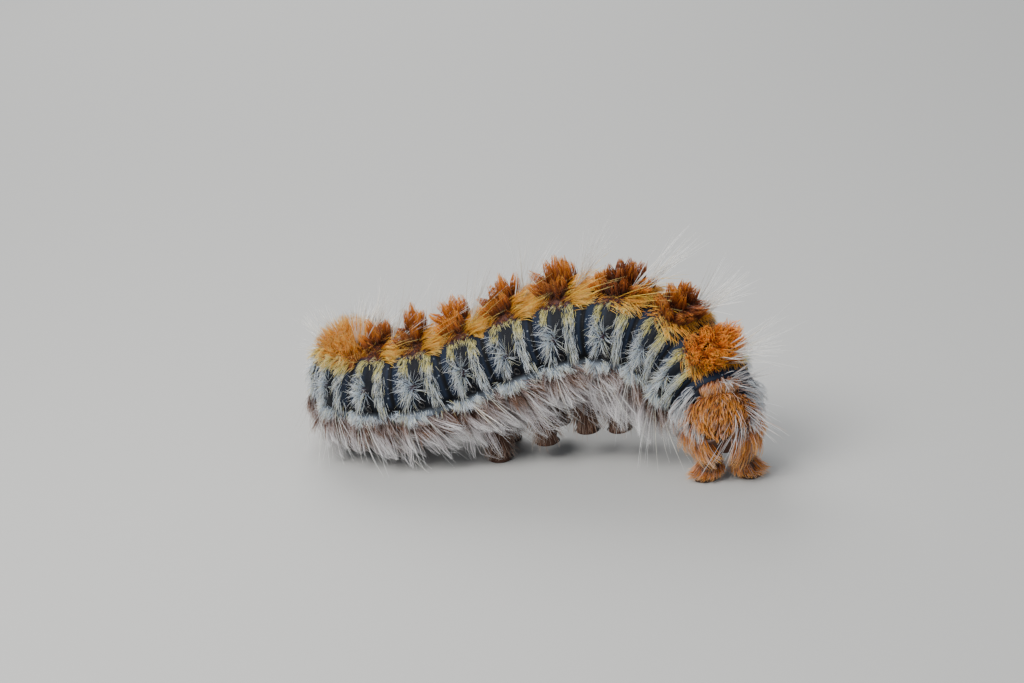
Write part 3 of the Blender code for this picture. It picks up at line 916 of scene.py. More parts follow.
@dataclass
class Bed:
    """The hairs of one piece of the coat, gathered before the node tree grows them."""

    plan: BodyPlan
    seed: int
    floor: float = 0.16 * MM
    sunk: float = 0.06 * MM
    overlap: float = 0.1 * MM
    star_reach: float = 0.5 * MM
    lowest_lie: float = 0.12
    scatter: tuple[float, float] = (0.7548776662, 0.5698402910)
    columns: dict[str, list[Array]] = field(default_factory=dict)

    def __post_init__(self) -> None:
        """Starts the bed's own random draws."""
        self.chance = np.random.default_rng(self.seed)

    def roots(self, s: Array, angle: Array) -> tuple[Array, Array, Array, Array]:
        """Root points on the skin, and the ways out of it, back along it and down it.

        Args:
            s: Places along the body.
            angle: Angles from the back.

        Returns:
            The point and the three directions for each root.
        """
        inner = np.clip(s, 0.02 * MM, self.plan.length - 0.03 * MM)
        step = 0.12 * MM
        ahead = self.plan.point(inner - step, angle, -self.sunk)
        behind = self.plan.point(np.minimum(inner + step, self.plan.length - 0.01 * MM), angle, -self.sunk)
        here = self.plan.point(inner, angle, -self.sunk)
        _, _, right, up = self.plan.axes(inner)
        down = unit(-up * np.sin(angle)[:, None] - right * np.cos(angle)[:, None])
        back = unit(behind - ahead)
        out = unit(np.cross(back, down))
        way = up * np.cos(angle)[:, None] - right * np.sin(angle)[:, None]
        out *= np.sign((out * way).sum(-1, keepdims=True) + 1e-9)
        return here, out, back, down * np.where(angle < 0, -1.0, 1.0)[:, None]

    def add(self, s: Array, angle: Array, root: Array, middle: Array, tip: Array, size: Array, blend: Array,
            tone: Array) -> None:
        """Adds hairs through a root, a middle and a tip point each, kept over the floor.

        Args:
            s: Places of the roots along the body.
            angle: Angles of the roots from the back.
            root: Root points.
            middle: Points halfway along the hairs.
            tip: Tip points.
            size: Radii at the root.
            blend: Shares of the finish's second colours.
            tone: Lightness from hair to hair, 0 to 1.
        """
        low = self.floor + self.chance.uniform(0, 0.25 * MM, len(s))
        tip[:, 2] = np.maximum(tip[:, 2], low)
        middle[:, 2] = np.maximum(middle[:, 2], low + 0.05 * MM)
        knot = 2 * middle - (root + tip) / 2
        knot[:, 2] = np.maximum(knot[:, 2], self.floor)
        place = np.stack([s / self.plan.length, angle / (2 * math.pi) + 0.5, np.zeros_like(s)], axis=-1)
        place[:, :2] = 0.01 + 0.975 * np.clip(place[:, :2], 0, 1)
        rows = {"root": root, "bow": knot - root, "reach": tip - root, "size": size,
                "blend": np.clip(blend, 0, 1), "tone": tone, "place": place}
        for name, values in rows.items():
            self.columns.setdefault(name, []).append(values)

    def plant(self, rings: tuple[int, ...], *kinds: Tufts, sides: tuple[Side, ...] = tuple(Side)) -> None:
        """Plants tufts on some rings.

        Args:
            rings: Numbers of the body rings, from 0 at the first thorax ring.
            kinds: The kinds of tuft, each planted on all the rings before the next.
            sides: The animal's sides to plant.
        """
        for kind in kinds:
            for ring in rings:
                for side in sides:
                    self.plant_ring(kind, ring, side)

    def plant_ring(self, kind: Tufts, ring: int, side: Side) -> None:
        """Plants the tufts of one ring and side, spaced by an even two-way scatter.

        Args:
            kind: The kind of tuft.
            ring: Number of the body ring.
            side: The animal's side.
        """
        order = np.arange(kind.tufts)
        offsets = self.chance.uniform(0, 1, 2)
        across, around = (np.remainder(order * step + offset, 1)
                          for step, offset in zip(self.scatter, offsets))
        start, length = self.plan.starts[ring], self.plan.lengths[ring] * MM
        share = kind.share[0] + (kind.share[1] - kind.share[0]) * across
        degrees = kind.side[0] + (kind.side[1] - kind.side[0]) * around
        tuft_s = np.repeat(start + share * length, kind.hairs)
        tuft_side = np.repeat(np.radians(degrees), kind.hairs)
        tuft_length = np.repeat(self.chance.uniform(*kind.length, kind.tufts), kind.hairs) * MM
        tuft_turn = np.repeat(self.chance.normal(0, kind.stray, (kind.tufts, 3)), kind.hairs, axis=0)
        tuft_tone = np.repeat(self.chance.uniform(0, 1, kind.tufts), kind.hairs)
        count = len(tuft_s)
        radius = self.plan.radius(tuft_s)
        spot = self.chance.normal(0, kind.spread * MM, (count, 2))
        turned = tuft_side + spot[:, 1] / radius
        s = np.clip(tuft_s + spot[:, 0], start - self.overlap, self.plan.starts[ring + 1] + self.overlap)
        angle = turned * side.value
        root, out, back, down = self.roots(s, angle)
        lie = np.array(kind.lie)[None] + tuft_turn + self.chance.normal(0, kind.stray * 0.6, (count, 3))
        if kind.star[2]:
            lie[:, 1] += kind.star[2] * (s - start - kind.star[0] * length) / self.star_reach
            lie[:, 2] += kind.star[2] * (turned - math.radians(kind.star[1])) * radius / self.star_reach
        lie = unit(lie)
        lie[:, 0] = np.maximum(lie[:, 0], self.lowest_lie)
        own = tuft_length * self.chance.uniform(0.72, 1.08, count)
        heading = out * lie[:, :1] + back * lie[:, 1:2] + down * lie[:, 2:]
        tip = root + heading * own[:, None]
        middle = root + heading * own[:, None] / 2 + out * (kind.arc * own)[:, None]
        centre_tip = np.repeat(tip.reshape(kind.tufts, kind.hairs, 3).mean(1), kind.hairs, axis=0)
        tip = tip + (centre_tip - tip) * kind.gather * self.chance.uniform(0.6, 1.2, count)[:, None]
        size = kind.size * MM * self.chance.uniform(0.75, 1.2, count)
        blend = kind.blend + self.chance.normal(0, kind.blend_spread, count)
        tone = np.clip(0.55 * tuft_tone + self.chance.uniform(0, 0.45, count), 0, 1)
        self.add(s, angle, root, middle, tip, size, blend, tone)

    @property
    def count(self) -> int:
        """How many hairs the bed holds."""
        return sum(len(part) for part in self.columns.get("size", []))

    def grow(self, name: str, tree: HairTree, finish: bpy.types.Material, points: int = 4,
             tip: float = 0.12, wobble: float = 0.04 * MM) -> None:
        """Grows the bed's hairs into one mesh, which rides on the body.

        Args:
            name: Name of the piece.
            tree: The hair node tree.
            finish: The hairs' material.
            points: Points along each hair.
            tip: Radius of the tip as a share of the root's.
            wobble: How far a hair's middle strays.
        """
        columns = {key: np.concatenate(parts) for key, parts in self.columns.items()}
        seeds = bpy.data.meshes.new(name + "_roots")
        seeds.from_pydata([tuple(point) for point in columns["root"]], [], [])
        for key, values in columns.items():
            store(seeds, key, "FLOAT" if values.ndim == 1 else "FLOAT_VECTOR", values)
        holder = new_object(name + "_bed", seeds)
        grown = holder.modifiers.new("hairs", "NODES")
        grown.node_group = tree.tree
        settings = {"Points": points, "Sides": 3, "Patch": tree.patch, "Tip": tip, "Wobble": wobble,
                    "Seed": self.seed, "Finish": finish}
        for key, value in settings.items():
            grown[tree.inputs[key]] = value
        graph = bpy.context.evaluated_depsgraph_get()
        mesh = bpy.data.meshes.new_from_object(holder.evaluated_get(graph))
        mesh.name = name
        for key in ("root", "bow", "reach", "size", "place", "around"):
            if key in mesh.attributes:
                mesh.attributes.remove(mesh.attributes[key])
        holder.modifiers.clear()
        bpy.data.objects.remove(holder, do_unlink=True)
        made = new_object(name, mesh)
        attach(made, BODY)
        LOG.info("%s: %d hairs, %d faces", name, self.count, len(mesh.polygons))


@dataclass(frozen=True)
class FootLine:
    """A soft foot's line: its place along the body, its ends, and the ways out and to the tail."""

    s: float
    top: Array
    sole: Array
    out: Array
    along: Array

    def ring(self, share: Array, turn: Array) -> tuple[Array, Array]:
        """Middles of the foot at shares of its length, and the ways out of it at turns around it.

        Args:
            share: Shares of the way from top to sole.
            turn: Turns around the foot, from its outer side.

        Returns:
            Middles and ways out, which follow the belly at the top and the floor at the sole.
        """
        level = unit(np.array([self.out[0], self.out[1], 0.0]))
        cross = np.array([-level[1], level[0], 0.0])
        tilted = self.along * math.copysign(1, float(np.dot(self.along, cross)))
        blend = np.clip(share, 0, 1)[..., None]
        lengthways = tilted * (1 - blend) + cross * blend
        way = np.cos(turn)[..., None] * level + np.sin(turn)[..., None] * lengthways
        return self.top + (self.sole - self.top) * share[..., None], way


@dataclass
class Skin:
    """The bare skin from behind the head to the tail, with the soft false legs joined to it."""

    plan: BodyPlan
    marks: Markings
    rows: int = 430
    around: int = 144
    end_rows: int = 46
    stump_rows: int = 26
    stump_around: int = 28
    wrinkle: float = 0.05
    foot_rings: tuple[int, ...] = (5, 6, 7, 8)
    foot_offset: float = 1.25 * MM
    foot_spread: float = 0.25 * MM
    foot_length: float = 2.3 * MM
    foot_shape: Profile = (
        (-0.35, 0.62), (0.0, 0.72), (0.3, 0.78), (0.5, 0.70), (0.68, 0.61), (0.86, 0.59), (1.0, 0.6))
    hind_offset: float = 0.85 * MM
    hind_shape: Profile = ((-0.5, 0.5), (0.0, 0.58), (0.4, 0.66), (0.8, 0.55), (1.0, 0.56))
    hind_place: float = 0.45
    gap: float = 0.3 * MM

    def build(self, finish: bpy.types.Material) -> None:
        """Builds the skin, joins the feet, writes its pattern and dresses it."""
        skin = new_object("skin", self.trunk())
        union(skin, [self.stump("foot", line, shape) for line, shape in self.feet()])
        skin.data.shade_smooth()
        self.paint(skin.data)
        skin.data.materials.clear()
        soft = [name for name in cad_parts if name.startswith(("thorax", "abdomen", "proleg"))]
        dress(skin, finish, "hairy_skin", *sorted(soft))

    def trunk(self) -> bpy.types.Mesh:
        """The closed skin of all the rings."""
        last = self.plan.starts[-2]
        even = np.linspace(0.0, last, self.rows)
        close = last + (self.plan.length - last) * np.sin(np.linspace(0, math.pi / 2, self.end_rows)[1:-1])
        rows = np.concatenate([even, close])
        s, angle = np.meshgrid(rows, full_turn(self.around), indexing="ij")
        points = self.plan.point(s, angle, np.zeros_like(s)).reshape(-1, 3)
        tip = self.plan.axes(np.array([self.plan.length - 0.01 * MM]))[0]
        return mesh_from("skin", np.concatenate([points, tip]), tube_faces(len(rows), self.around, True))

    def under(self, s: float, sideways: float) -> tuple[Array, Array, Array]:
        """The belly's point at an offset to the left, and the body's frame there.

        Args:
            s: Place along the body.
            sideways: Offset to the animal's left.

        Returns:
            The point, the way out to that side and the way up the back.
        """
        middle, _, right, up = (part[0] for part in self.plan.axes(np.array([s])))
        radius = float(self.plan.radius(np.array([s]))[0])
        angle = math.pi - math.asin(min(1.0, abs(sideways) / (radius * 0.95)))
        reach = radius * float(self.plan.section(np.array([angle]))[0])
        out = right * math.copysign(1, -sideways)
        return middle + (up * math.cos(angle) + out * math.sin(angle)) * reach, out, up

    def stump(self, name: str, line: FootLine, shape: Profile) -> bpy.types.Object:
        """A soft wrinkled foot from inside the belly to its flat sole."""
        shares = np.linspace(shape[0][0], 1.0, self.stump_rows)
        thick = np.interp(shares, *zip(*shape)) * MM
        thick *= 1 - self.wrinkle * np.cos(shares * 2 * math.pi * 4.5) * (shares > 0.05)
        share, turn = np.meshgrid(shares, full_turn(self.stump_around), indexing="ij")
        middle, way = line.ring(share, turn)
        size = thick[:, None] * (1 + 0.03 * np.cos(3 * turn + share * 5))
        points = (middle + way * size[..., None]).reshape(-1, 3)
        return new_object(name, mesh_from(name, points, tube_faces(self.stump_rows, self.stump_around)))

    def foot_line(self, ring: int, side: Side) -> FootLine:
        """The line of a false leg from the belly to its sole."""
        s = float(self.plan.starts[ring] + self.plan.starts[ring + 1]) / 2
        root, out, up = self.under(s, side.value * self.foot_offset)
        top = root - up * (self.gap + 0.1 * MM)
        sole = top + out * self.foot_spread
        sole[2] = max(0.0, top[2] - self.foot_length)
        return FootLine(s, top, sole, out, self.plan.axes(np.array([s]))[1][0])

    def hind_line(self, side: Side) -> FootLine:
        """The line of a hind foot from the belly to its sole."""
        low, high = self.plan.starts[-2] + self.gap / 2, self.plan.length - self.gap / 2
        s = float(low + (high - low) * self.hind_place)
        root, out, up = self.under(s, side.value * self.hind_offset)
        along = self.plan.axes(np.array([s]))[1][0]
        top = root - up * (self.gap + 0.14 * MM)
        sole = top + out * 0.4 * MM + along * 0.35 * MM
        sole[2] = 0.0
        return FootLine(s, top, sole, out, along)

    def feet(self) -> list[tuple[FootLine, Profile]]:
        """The line and shape of every soft foot."""
        made = [(self.foot_line(ring, side), self.foot_shape) for ring in self.foot_rings for side in Side]
        return made + [(self.hind_line(side), self.hind_shape) for side in Side]

    def paint(self, mesh: bpy.types.Mesh) -> None:
        """Writes the pattern's marks on the skin's vertices."""
        points = np.empty(len(mesh.vertices) * 3, np.float32)
        mesh.vertices.foreach_get("co", points)
        s, angle, away = self.plan.find(points.reshape(-1, 3).astype(float))
        masks = self.marks.masks(s, angle)
        below = away - self.plan.skin_reach(np.minimum(s, self.plan.length - 0.05 * MM), angle)
        foot = smooth(0.05 * MM, 0.35 * MM, below)
        last = self.plan.share(s)[0] == self.plan.rings - 1
        masks[Mark.FOOT] = np.maximum(foot, np.where(last, smooth(110, 140, np.degrees(np.abs(angle))), 0))
        for mark, values in masks.items():
            store(mesh, mark.value, "FLOAT", values)


@dataclass(frozen=True)
class Crest:
    """The tall rust tufts across the back: on each ring a group of narrow flames like fingers."""

    hairs: int = 88
    spread: float = 0.105
    size: float = 0.0195

    def fill(self, bed: Bed, rings: tuple[int, ...]) -> None:
        """Fills a bed with the crest's hairs on some rings."""
        for ring in rings:
            for flame in CREST_FLAMES[ring]:
                self.flame(bed, ring, flame)

    def flame(self, bed: Bed, ring: int, flame: tuple[float, ...]) -> None:
        """Fills a bed with one flame-shaped tuft.

        Args:
            bed: The bed to fill.
            ring: Number of the body ring.
            flame: A row of CREST_FLAMES.
        """
        share, degrees, height, back_lean, left_lean, dark = flame
        plan, chance = bed.plan, bed.chance
        fluffy = ring == Ring.ABDOMEN_8
        count = int(self.hairs * (1.2 if fluffy else 1.0))
        centre_s = plan.starts[ring] + share * plan.lengths[ring] * MM
        spot = chance.normal(0, self.spread * (1.7 if fluffy else 1.0) * MM, (count, 2))
        s = centre_s + spot[:, 0]
        angle = math.radians(degrees) + spot[:, 1] / plan.radius(s)
        root, out, _, _ = bed.roots(s, angle)
        right = plan.axes(s)[2][0]
        centre, centre_out, centre_back, _ = (part[0] for part in bed.roots(
            np.array([centre_s]), np.array([math.radians(degrees)])))
        lean = centre_back * back_lean * MM - right * left_lean * MM
        peak = centre + centre_out * height * MM + lean
        tall = chance.uniform(0.30, 1.0, count) ** 0.75
        loose = (0.13 if fluffy else 0.055) * MM
        swell = unit(root - centre + 1e-9) * (0.16 if fluffy else 0.10) * MM
        tip = root + (peak - root) * tall[:, None] + chance.normal(0, loose, (count, 3)) + swell * 0.9
        middle = (root + tip) / 2 + out * 0.06 * height * MM * tall[:, None] + swell
        middle -= lean[None] * 0.18 * tall[:, None]
        size = self.size * MM * chance.uniform(0.8, 1.35, count)
        tone = chance.uniform(0.6, 1.3, count) if fluffy else chance.uniform(0, 1, count)
        blend = dark + (1 - tall) * (0.45 if fluffy else 0.9) + chance.normal(0, 0.14, count)
        bed.add(s, angle, root, middle, tip, size, blend, tone)


# For each ring, the flames' share of the ring, angle from the back, height, lean to the tail and
# lean to the left, in degrees and millimetres, and how dark they are.
CREST_FLAMES = {
    3: ((0.24, 17, 0.95, 0.0, -0.04, 0.65), (0.27, 2, 1.14, 0.05, 0.0, 0.45),
        (0.25, -14, 0.95, 0.0, 0.0, 0.55), (0.37, 18, 1.14, 0.05, -0.04, 0.35),
        (0.38, 3, 1.61, 0.15, 0.0, 0.25), (0.37, -11, 1.23, 0.1, 0.0, 0.45),
        (0.49, 12, 1.14, 0.15, 0.0, 0.25), (0.5, -5, 1.14, 0.15, 0.0, 0.35)),
    4: ((0.31, 18, 0.9, -0.05, -0.04, 0.85), (0.34, 3, 1.04, -0.05, 0.0, 0.75),
        (0.33, -13, 0.95, 0.0, 0.0, 0.75), (0.43, 20, 1.09, 0.05, -0.04, 0.55),
        (0.46, 6, 1.8, 0.23, 0.0, 0.2), (0.51, 1, 1.99, 0.35, 0.0, 0.1),
        (0.46, -12, 1.33, 0.1, 0.04, 0.45), (0.56, 17, 1.19, 0.15, -0.04, 0.35),
        (0.58, 7, 1.71, 0.33, 0.0, 0.15), (0.61, -7, 1.33, 0.2, 0.0, 0.35)),
    5: ((0.34, 20, 1.14, -0.07, -0.08, 0.1), (0.43, 22, 1.23, 0.0, -0.08, 0.05),
        (0.53, 22, 1.19, 0.03, -0.08, 0.05), (0.62, 19, 1.28, 0.1, -0.08, -0.05),
        (0.36, 6, 1.47, -0.12, 0.0, 0.05), (0.45, 8, 1.66, 0.0, 0.0, -0.05),
        (0.54, 7, 1.52, 0.05, 0.0, 0.05), (0.64, 5, 1.47, 0.15, 0.0, 0.0),
        (0.39, -9, 1.42, -0.05, 0.04, 0.15), (0.5, -10, 1.52, 0.0, 0.04, 0.15),
        (0.62, -10, 1.33, 0.1, 0.04, 0.25), (0.46, -22, 1.14, 0.0, 0.08, 0.35)),
    6: ((0.34, 19, 1.04, -0.15, -0.08, 0.35), (0.43, 21, 1.04, -0.05, -0.08, 0.45),
        (0.52, 21, 1.14, 0.0, -0.08, 0.45), (0.62, 19, 1.28, 0.1, -0.08, 0.15),
        (0.36, 4, 1.28, -0.17, 0.0, 0.35), (0.45, 6, 1.14, -0.1, 0.0, 0.55),
        (0.54, 4, 1.42, 0.05, 0.0, 0.35), (0.63, 5, 1.85, 0.12, 0.0, 0.05),
        (0.68, -3, 1.61, 0.2, 0.0, 0.15), (0.41, -10, 1.23, -0.1, 0.04, 0.45),
        (0.54, -12, 1.33, 0.0, 0.04, 0.45), (0.49, -23, 1.04, 0.0, 0.08, 0.45)),
    7: ((0.34, 17, 1.33, -0.15, -0.08, 0.35), (0.45, 21, 1.14, -0.05, -0.08, 0.55),
        (0.55, 21, 1.14, 0.0, -0.08, 0.55), (0.64, 18, 1.19, 0.1, -0.08, 0.25),
        (0.36, 3, 1.61, -0.15, 0.0, 0.25), (0.46, 6, 1.8, 0.0, 0.0, 0.25),
        (0.55, 4, 1.9, 0.07, 0.0, 0.05), (0.65, 3, 1.47, 0.15, 0.0, 0.15),
        (0.41, -11, 1.42, -0.05, 0.04, 0.35), (0.55, -13, 1.52, 0.0, 0.04, 0.25),
        (0.64, -12, 1.23, 0.1, 0.04, 0.35), (0.5, -24, 1.04, 0.0, 0.08, 0.45)),
    8: ((0.17, 15, 0.87, -0.24, 0.04, 0.0), (0.19, 2, 0.97, -0.21, 0.0, 0.1),
        (0.21, -12, 0.87, -0.14, 0.0, 0.2), (0.28, 19, 0.92, -0.07, 0.04, 0.1),
        (0.3, 6, 1.06, -0.07, 0.0, 0.2), (0.4, 21, 1.01, 0.0, 0.05, 0.9), (0.4, 6, 1.24, 0.0, 0.0, 0.8),
        (0.42, -10, 1.2, 0.0, -0.02, 0.8), (0.5, 22, 0.97, 0.07, 0.06, 1.0),
        (0.51, 8, 1.15, 0.03, 0.02, 0.9), (0.53, -7, 1.33, 0.07, 0.0, 0.9),
        (0.61, 19, 1.1, 0.14, 0.04, 0.9), (0.63, 4, 1.61, 0.21, 0.0, 0.5),
        (0.66, -11, 1.29, 0.14, 0.0, 0.7), (0.73, 17, 0.97, 0.21, 0.04, 0.2),
        (0.79, 4, 1.06, 0.28, 0.0, 0.1), (0.81, -11, 0.92, 0.28, 0.0, 0.2),
        (0.87, 11, 0.78, 0.35, 0.02, 0.0)),
    9: ((0.38, 18, 0.95, -0.14, 0.12, 0.15), (0.4, 3, 1.09, -0.14, 0.0, 0.25),
        (0.41, -13, 0.95, -0.07, 0.0, 0.3), (0.49, 23, 1.14, -0.07, 0.14, 0.3),
        (0.51, 8, 1.33, 0.0, 0.04, 0.3), (0.51, -7, 1.23, 0.0, 0.0, 0.4),
        (0.61, 25, 1.14, 0.07, 0.16, 0.4), (0.62, 10, 1.33, 0.07, 0.06, 0.6),
        (0.62, -7, 1.33, 0.07, 0.0, 0.6), (0.72, 21, 1.14, 0.21, 0.12, 0.7),
        (0.73, 6, 1.42, 0.28, 0.04, 0.85), (0.73, -9, 1.28, 0.21, 0.0, 0.8),
        (0.81, 14, 1.19, 0.35, 0.08, 0.8), (0.83, -2, 1.19, 0.35, 0.0, 0.8)),
    10: ((0.44, 23, 1.1, -0.21, 0.2, 0.0), (0.46, 9, 1.27, -0.14, 0.05, 0.0),
         (0.46, -7, 1.27, -0.14, -0.05, 0.0), (0.49, -22, 1.1, -0.14, -0.15, 0.0),
         (0.56, 27, 1.19, 0.0, 0.25, 0.0), (0.57, 13, 1.43, 0.0, 0.1, 0.0),
         (0.57, -2, 1.5, 0.0, 0.0, 0.05), (0.59, -16, 1.34, 0.0, -0.1, 0.0),
         (0.68, 24, 1.19, 0.14, 0.2, 0.0), (0.69, 10, 1.43, 0.21, 0.05, 0.1),
         (0.69, -5, 1.43, 0.21, 0.0, 0.0), (0.69, -20, 1.19, 0.14, -0.15, 0.0),
         (0.8, 16, 1.1, 0.24, 0.15, 0.0), (0.81, 2, 1.19, 0.24, 0.0, 0.0),
         (0.8, -13, 1.1, 0.24, -0.1, 0.0)),
}


@dataclass
class Coat:
    """All the hair: rust crest, golden back, pale flank bands, side fringe, long hairs and belly hair."""

    plan: BodyPlan
    skin: Skin
    tree: HairTree

    def build(self) -> None:
        """Grows every piece of the coat."""
        for piece in (self.gold, self.front, self.long_hairs, self.belly, self.tail, self.face, self.crest):
            piece()
        for side in Side:
            self.flank(side)
            self.fringe(side)

    def crest(self) -> None:
        """The rust tufts, in a front and a rear piece."""
        finish = CREST_HAIR.make()
        low = Tufts(share=(0.30, 0.76), side=(0, 25), length=(0.35, 0.6), lie=(0.9, 0.1, 0.3), tufts=10,
                    hairs=8, spread=0.12, gather=0.2, size=0.02, blend=1.0)
        short = replace(low, share=(0.34, 0.72), side=(22, 34), length=(0.25, 0.45), lie=(0.7, 0.2, 0.6),
                        blend=1.1)
        for name, rings, seed in (("crest_front", TUFTED[:4], 21), ("crest_rear", TUFTED[4:], 31)):
            bed = Bed(self.plan, seed)
            Crest().fill(bed, rings)
            bed.plant(rings, low, short)
            bed.grow(name, self.tree, finish, 4, 0.45, 0.07 * MM)

    def gold(self) -> None:
        """The golden hair that lies back from behind one tuft to the next."""
        bed = Bed(self.plan, 22)
        front, rear = TUFTED[:5], TUFTED[5:]
        lying = Tufts(share=(0.66, 0.98), side=(0, 18), length=(1.2, 1.8), lie=(0.40, 1.0, 0.02), tufts=26,
                      hairs=11, spread=0.2, gather=0.1, arc=0.12, stray=0.05, size=0.018, blend=0.15)
        bed.plant(
            front, lying,
            replace(lying, share=(0.70, 0.98), side=(14, 30), length=(0.8, 1.3), lie=(0.35, 1.0, 0.1),
                    tufts=22, blend=0.45),
            replace(lying, share=(0.0, 0.30), side=(0, 30), length=(0.55, 0.85), lie=(0.5, 0.9, 0.05),
                    tufts=20, hairs=8, blend=0.3))
        bed.plant(
            rear, replace(lying, share=(0.66, 0.84), side=(0, 30), length=(0.7, 1.0), tufts=14, blend=-0.2),
            replace(lying, share=(0.12, 0.26), side=(4, 32), length=(0.45, 0.7), tufts=9, blend=0.0),
            replace(lying, share=(0.40, 0.84), side=(26, 37), length=(0.55, 0.85), lie=(0.3, 0.8, 0.5),
                    tufts=9, blend=0.5))
        bed.plant(
            front, replace(lying, share=(0.80, 0.98), side=(26, 34), length=(0.6, 0.9), lie=(0.3, 0.8, 0.5),
                           tufts=7, hairs=8, spread=0.09, gather=0.35, arc=0.1, stray=0.15, size=0.02,
                           blend=0.6))
        bed.plant(
            TUFTED[:6], replace(lying, share=(0.55, 0.86), side=(16, 30), length=(2.6, 3.8),
                                lie=(0.46, 1.0, -0.08), tufts=10, hairs=1, spread=0.1, gather=0.0, arc=0.04,
                                stray=0.06, size=0.02, blend=1.2))
        bed.grow("gold_hair", self.tree, GOLD_HAIR.make())

    def front(self) -> None:
        """The orange-yellow mass behind the head, with a collar that lies forward over it."""
        bed = Bed(self.plan, 23)
        mass = Tufts(share=(0.1, 0.95), side=(0, 36), length=(0.8, 1.3), lie=(0.8, 0.5, 0.15), tufts=42,
                     hairs=12, spread=0.2, gather=0.45, arc=0.1, stray=0.3, size=0.022, blend=0.2)
        bed.plant((1, 2), mass)
        bed.plant(
            (0,), replace(mass, share=(0.04, 0.9), side=(0, 46), length=(0.6, 1.0), lie=(0.8, -0.4, 0.2),
                          tufts=32, hairs=10, gather=0.4, blend=0.35),
            replace(mass, share=(0.0, 0.08), side=(0, 60), length=(0.5, 0.9), lie=(0.6, -0.9, 0.2), tufts=18,
                    hairs=9, spread=0.1, gather=0.3, arc=0.16, stray=0.25, size=0.018, blend=0.3))
        bed.plant(
            (1, 2), replace(mass, share=(0.1, 0.9), side=(34, 48), length=(0.6, 1.0), lie=(0.4, 0.3, 0.9),
                            tufts=16, hairs=10, spread=0.14, gather=0.4, stray=0.25, size=0.02, blend=0.95))
        bed.grow("front_hair", self.tree, FRONT_HAIR.make())

    def flank(self, side: Side) -> None:
        """The two pale bands on each ring's side, with a star of hair on the forward wart."""
        bed = Bed(self.plan, 24 if side is Side.LEFT else 34)
        top = Tufts(share=(0.27, 0.38), side=(33, 50), length=(0.5, 0.8), lie=(0.35, 0.0, 1.0), tufts=14,
                    hairs=4, spread=0.06, gather=0.1, arc=0.1, stray=0.14, size=0.0135, blend=1.0)
        band = Tufts(share=(0.25, 0.38), side=(48, 91), length=(0.55, 0.9), lie=(0.4, 0.0, 0.7), tufts=40,
                     hairs=3, spread=0.06, gather=0.05, arc=0.08, stray=0.2, size=0.0105,
                     star=(0.45, 72, 0.16))
        fold = Tufts(share=(0.0, 0.56), side=(101, 109), length=(0.35, 0.7), lie=(0.8, 0.3, 0.5), tufts=40,
                     hairs=7, spread=0.09, gather=0.2, arc=0.1, stray=0.3, size=0.015)
        bed.plant(
            FLANKED, top,
            replace(top, share=(0.70, 0.84), side=(33, 54), lie=(0.35, 0.06, 1.0), tufts=18),
            replace(top, share=(0.30, 0.80), side=(30, 37), length=(0.35, 0.6), tufts=15, stray=0.25),
            band,
            replace(band, share=(0.40, 0.50), side=(66, 78), length=(0.75, 1.35), lie=(0.6, 0.0, 0.1),
                    tufts=22, hairs=4, stray=0.35, star=(0.45, 72, 0.95)),
            replace(band, share=(0.69, 0.85), side=(46, 94), lie=(0.35, 0.05, 1.0), tufts=52, stray=0.14,
                    star=(0.0, 0.0, 0.0), blend=0.1),
            fold,
            replace(fold, share=(0.56, 0.98), tufts=8, hairs=6),
            sides=(side,))
        bed.plant((0, 1), replace(fold, share=(0.05, 0.95), side=(46, 110), length=(0.6, 1.0),
                                  lie=(0.4, 0.2, 0.9), spread=0.14, stray=0.25), sides=(side,))
        bed.grow("flank_hair_" + side.word, self.tree, FLANK_HAIR.make())

    def fringe(self, side: Side) -> None:
        """The long fringe of pointed locks along the side fold, over dark brown under-hair that also paints
        the shade between the locks.
        """
        bed = Bed(self.plan, 25 if side is Side.LEFT else 35)
        rings, raised = tuple(range(1, 11)), tuple(range(5, 10))
        long = Tufts(share=(0.04, 0.96), side=(108, 126), length=(1.9, 2.9), lie=(0.5, 0.65, 0.9), tufts=12,
                     hairs=20, spread=0.09, gather=0.95, arc=0.12, stray=0.28, size=0.017, blend_spread=0.15)
        bed.plant(rings, long, sides=(side,))
        bed.plant(raised, replace(long, side=(116, 136), length=(2.7, 3.7), lie=(0.35, 0.35, 0.95), tufts=10),
                  sides=(side,))
        # Under-hair in the finish's second colours: brown hair, darkened as painted shade between the locks.
        bed.plant(
            rings, replace(long, side=(104, 116), length=(0.9, 1.6), lie=(0.75, 0.5, 0.6), tufts=15, hairs=10,
                           gather=0.6, blend=0.75, blend_spread=0.35),
            replace(long, side=(108, 134), length=(1.0, 1.8), lie=(0.5, 0.3, 0.9), tufts=30, hairs=10,
                    gather=0.4, blend=1.2),
            sides=(side,))
        bed.plant((0,), replace(long, side=(104, 128), length=(1.2, 1.8), lie=(0.6, 0.0, 0.8), tufts=20,
                                hairs=10),
                  sides=(side,))
        bed.grow("fringe_" + side.word, self.tree, FRINGE_HAIR.make())

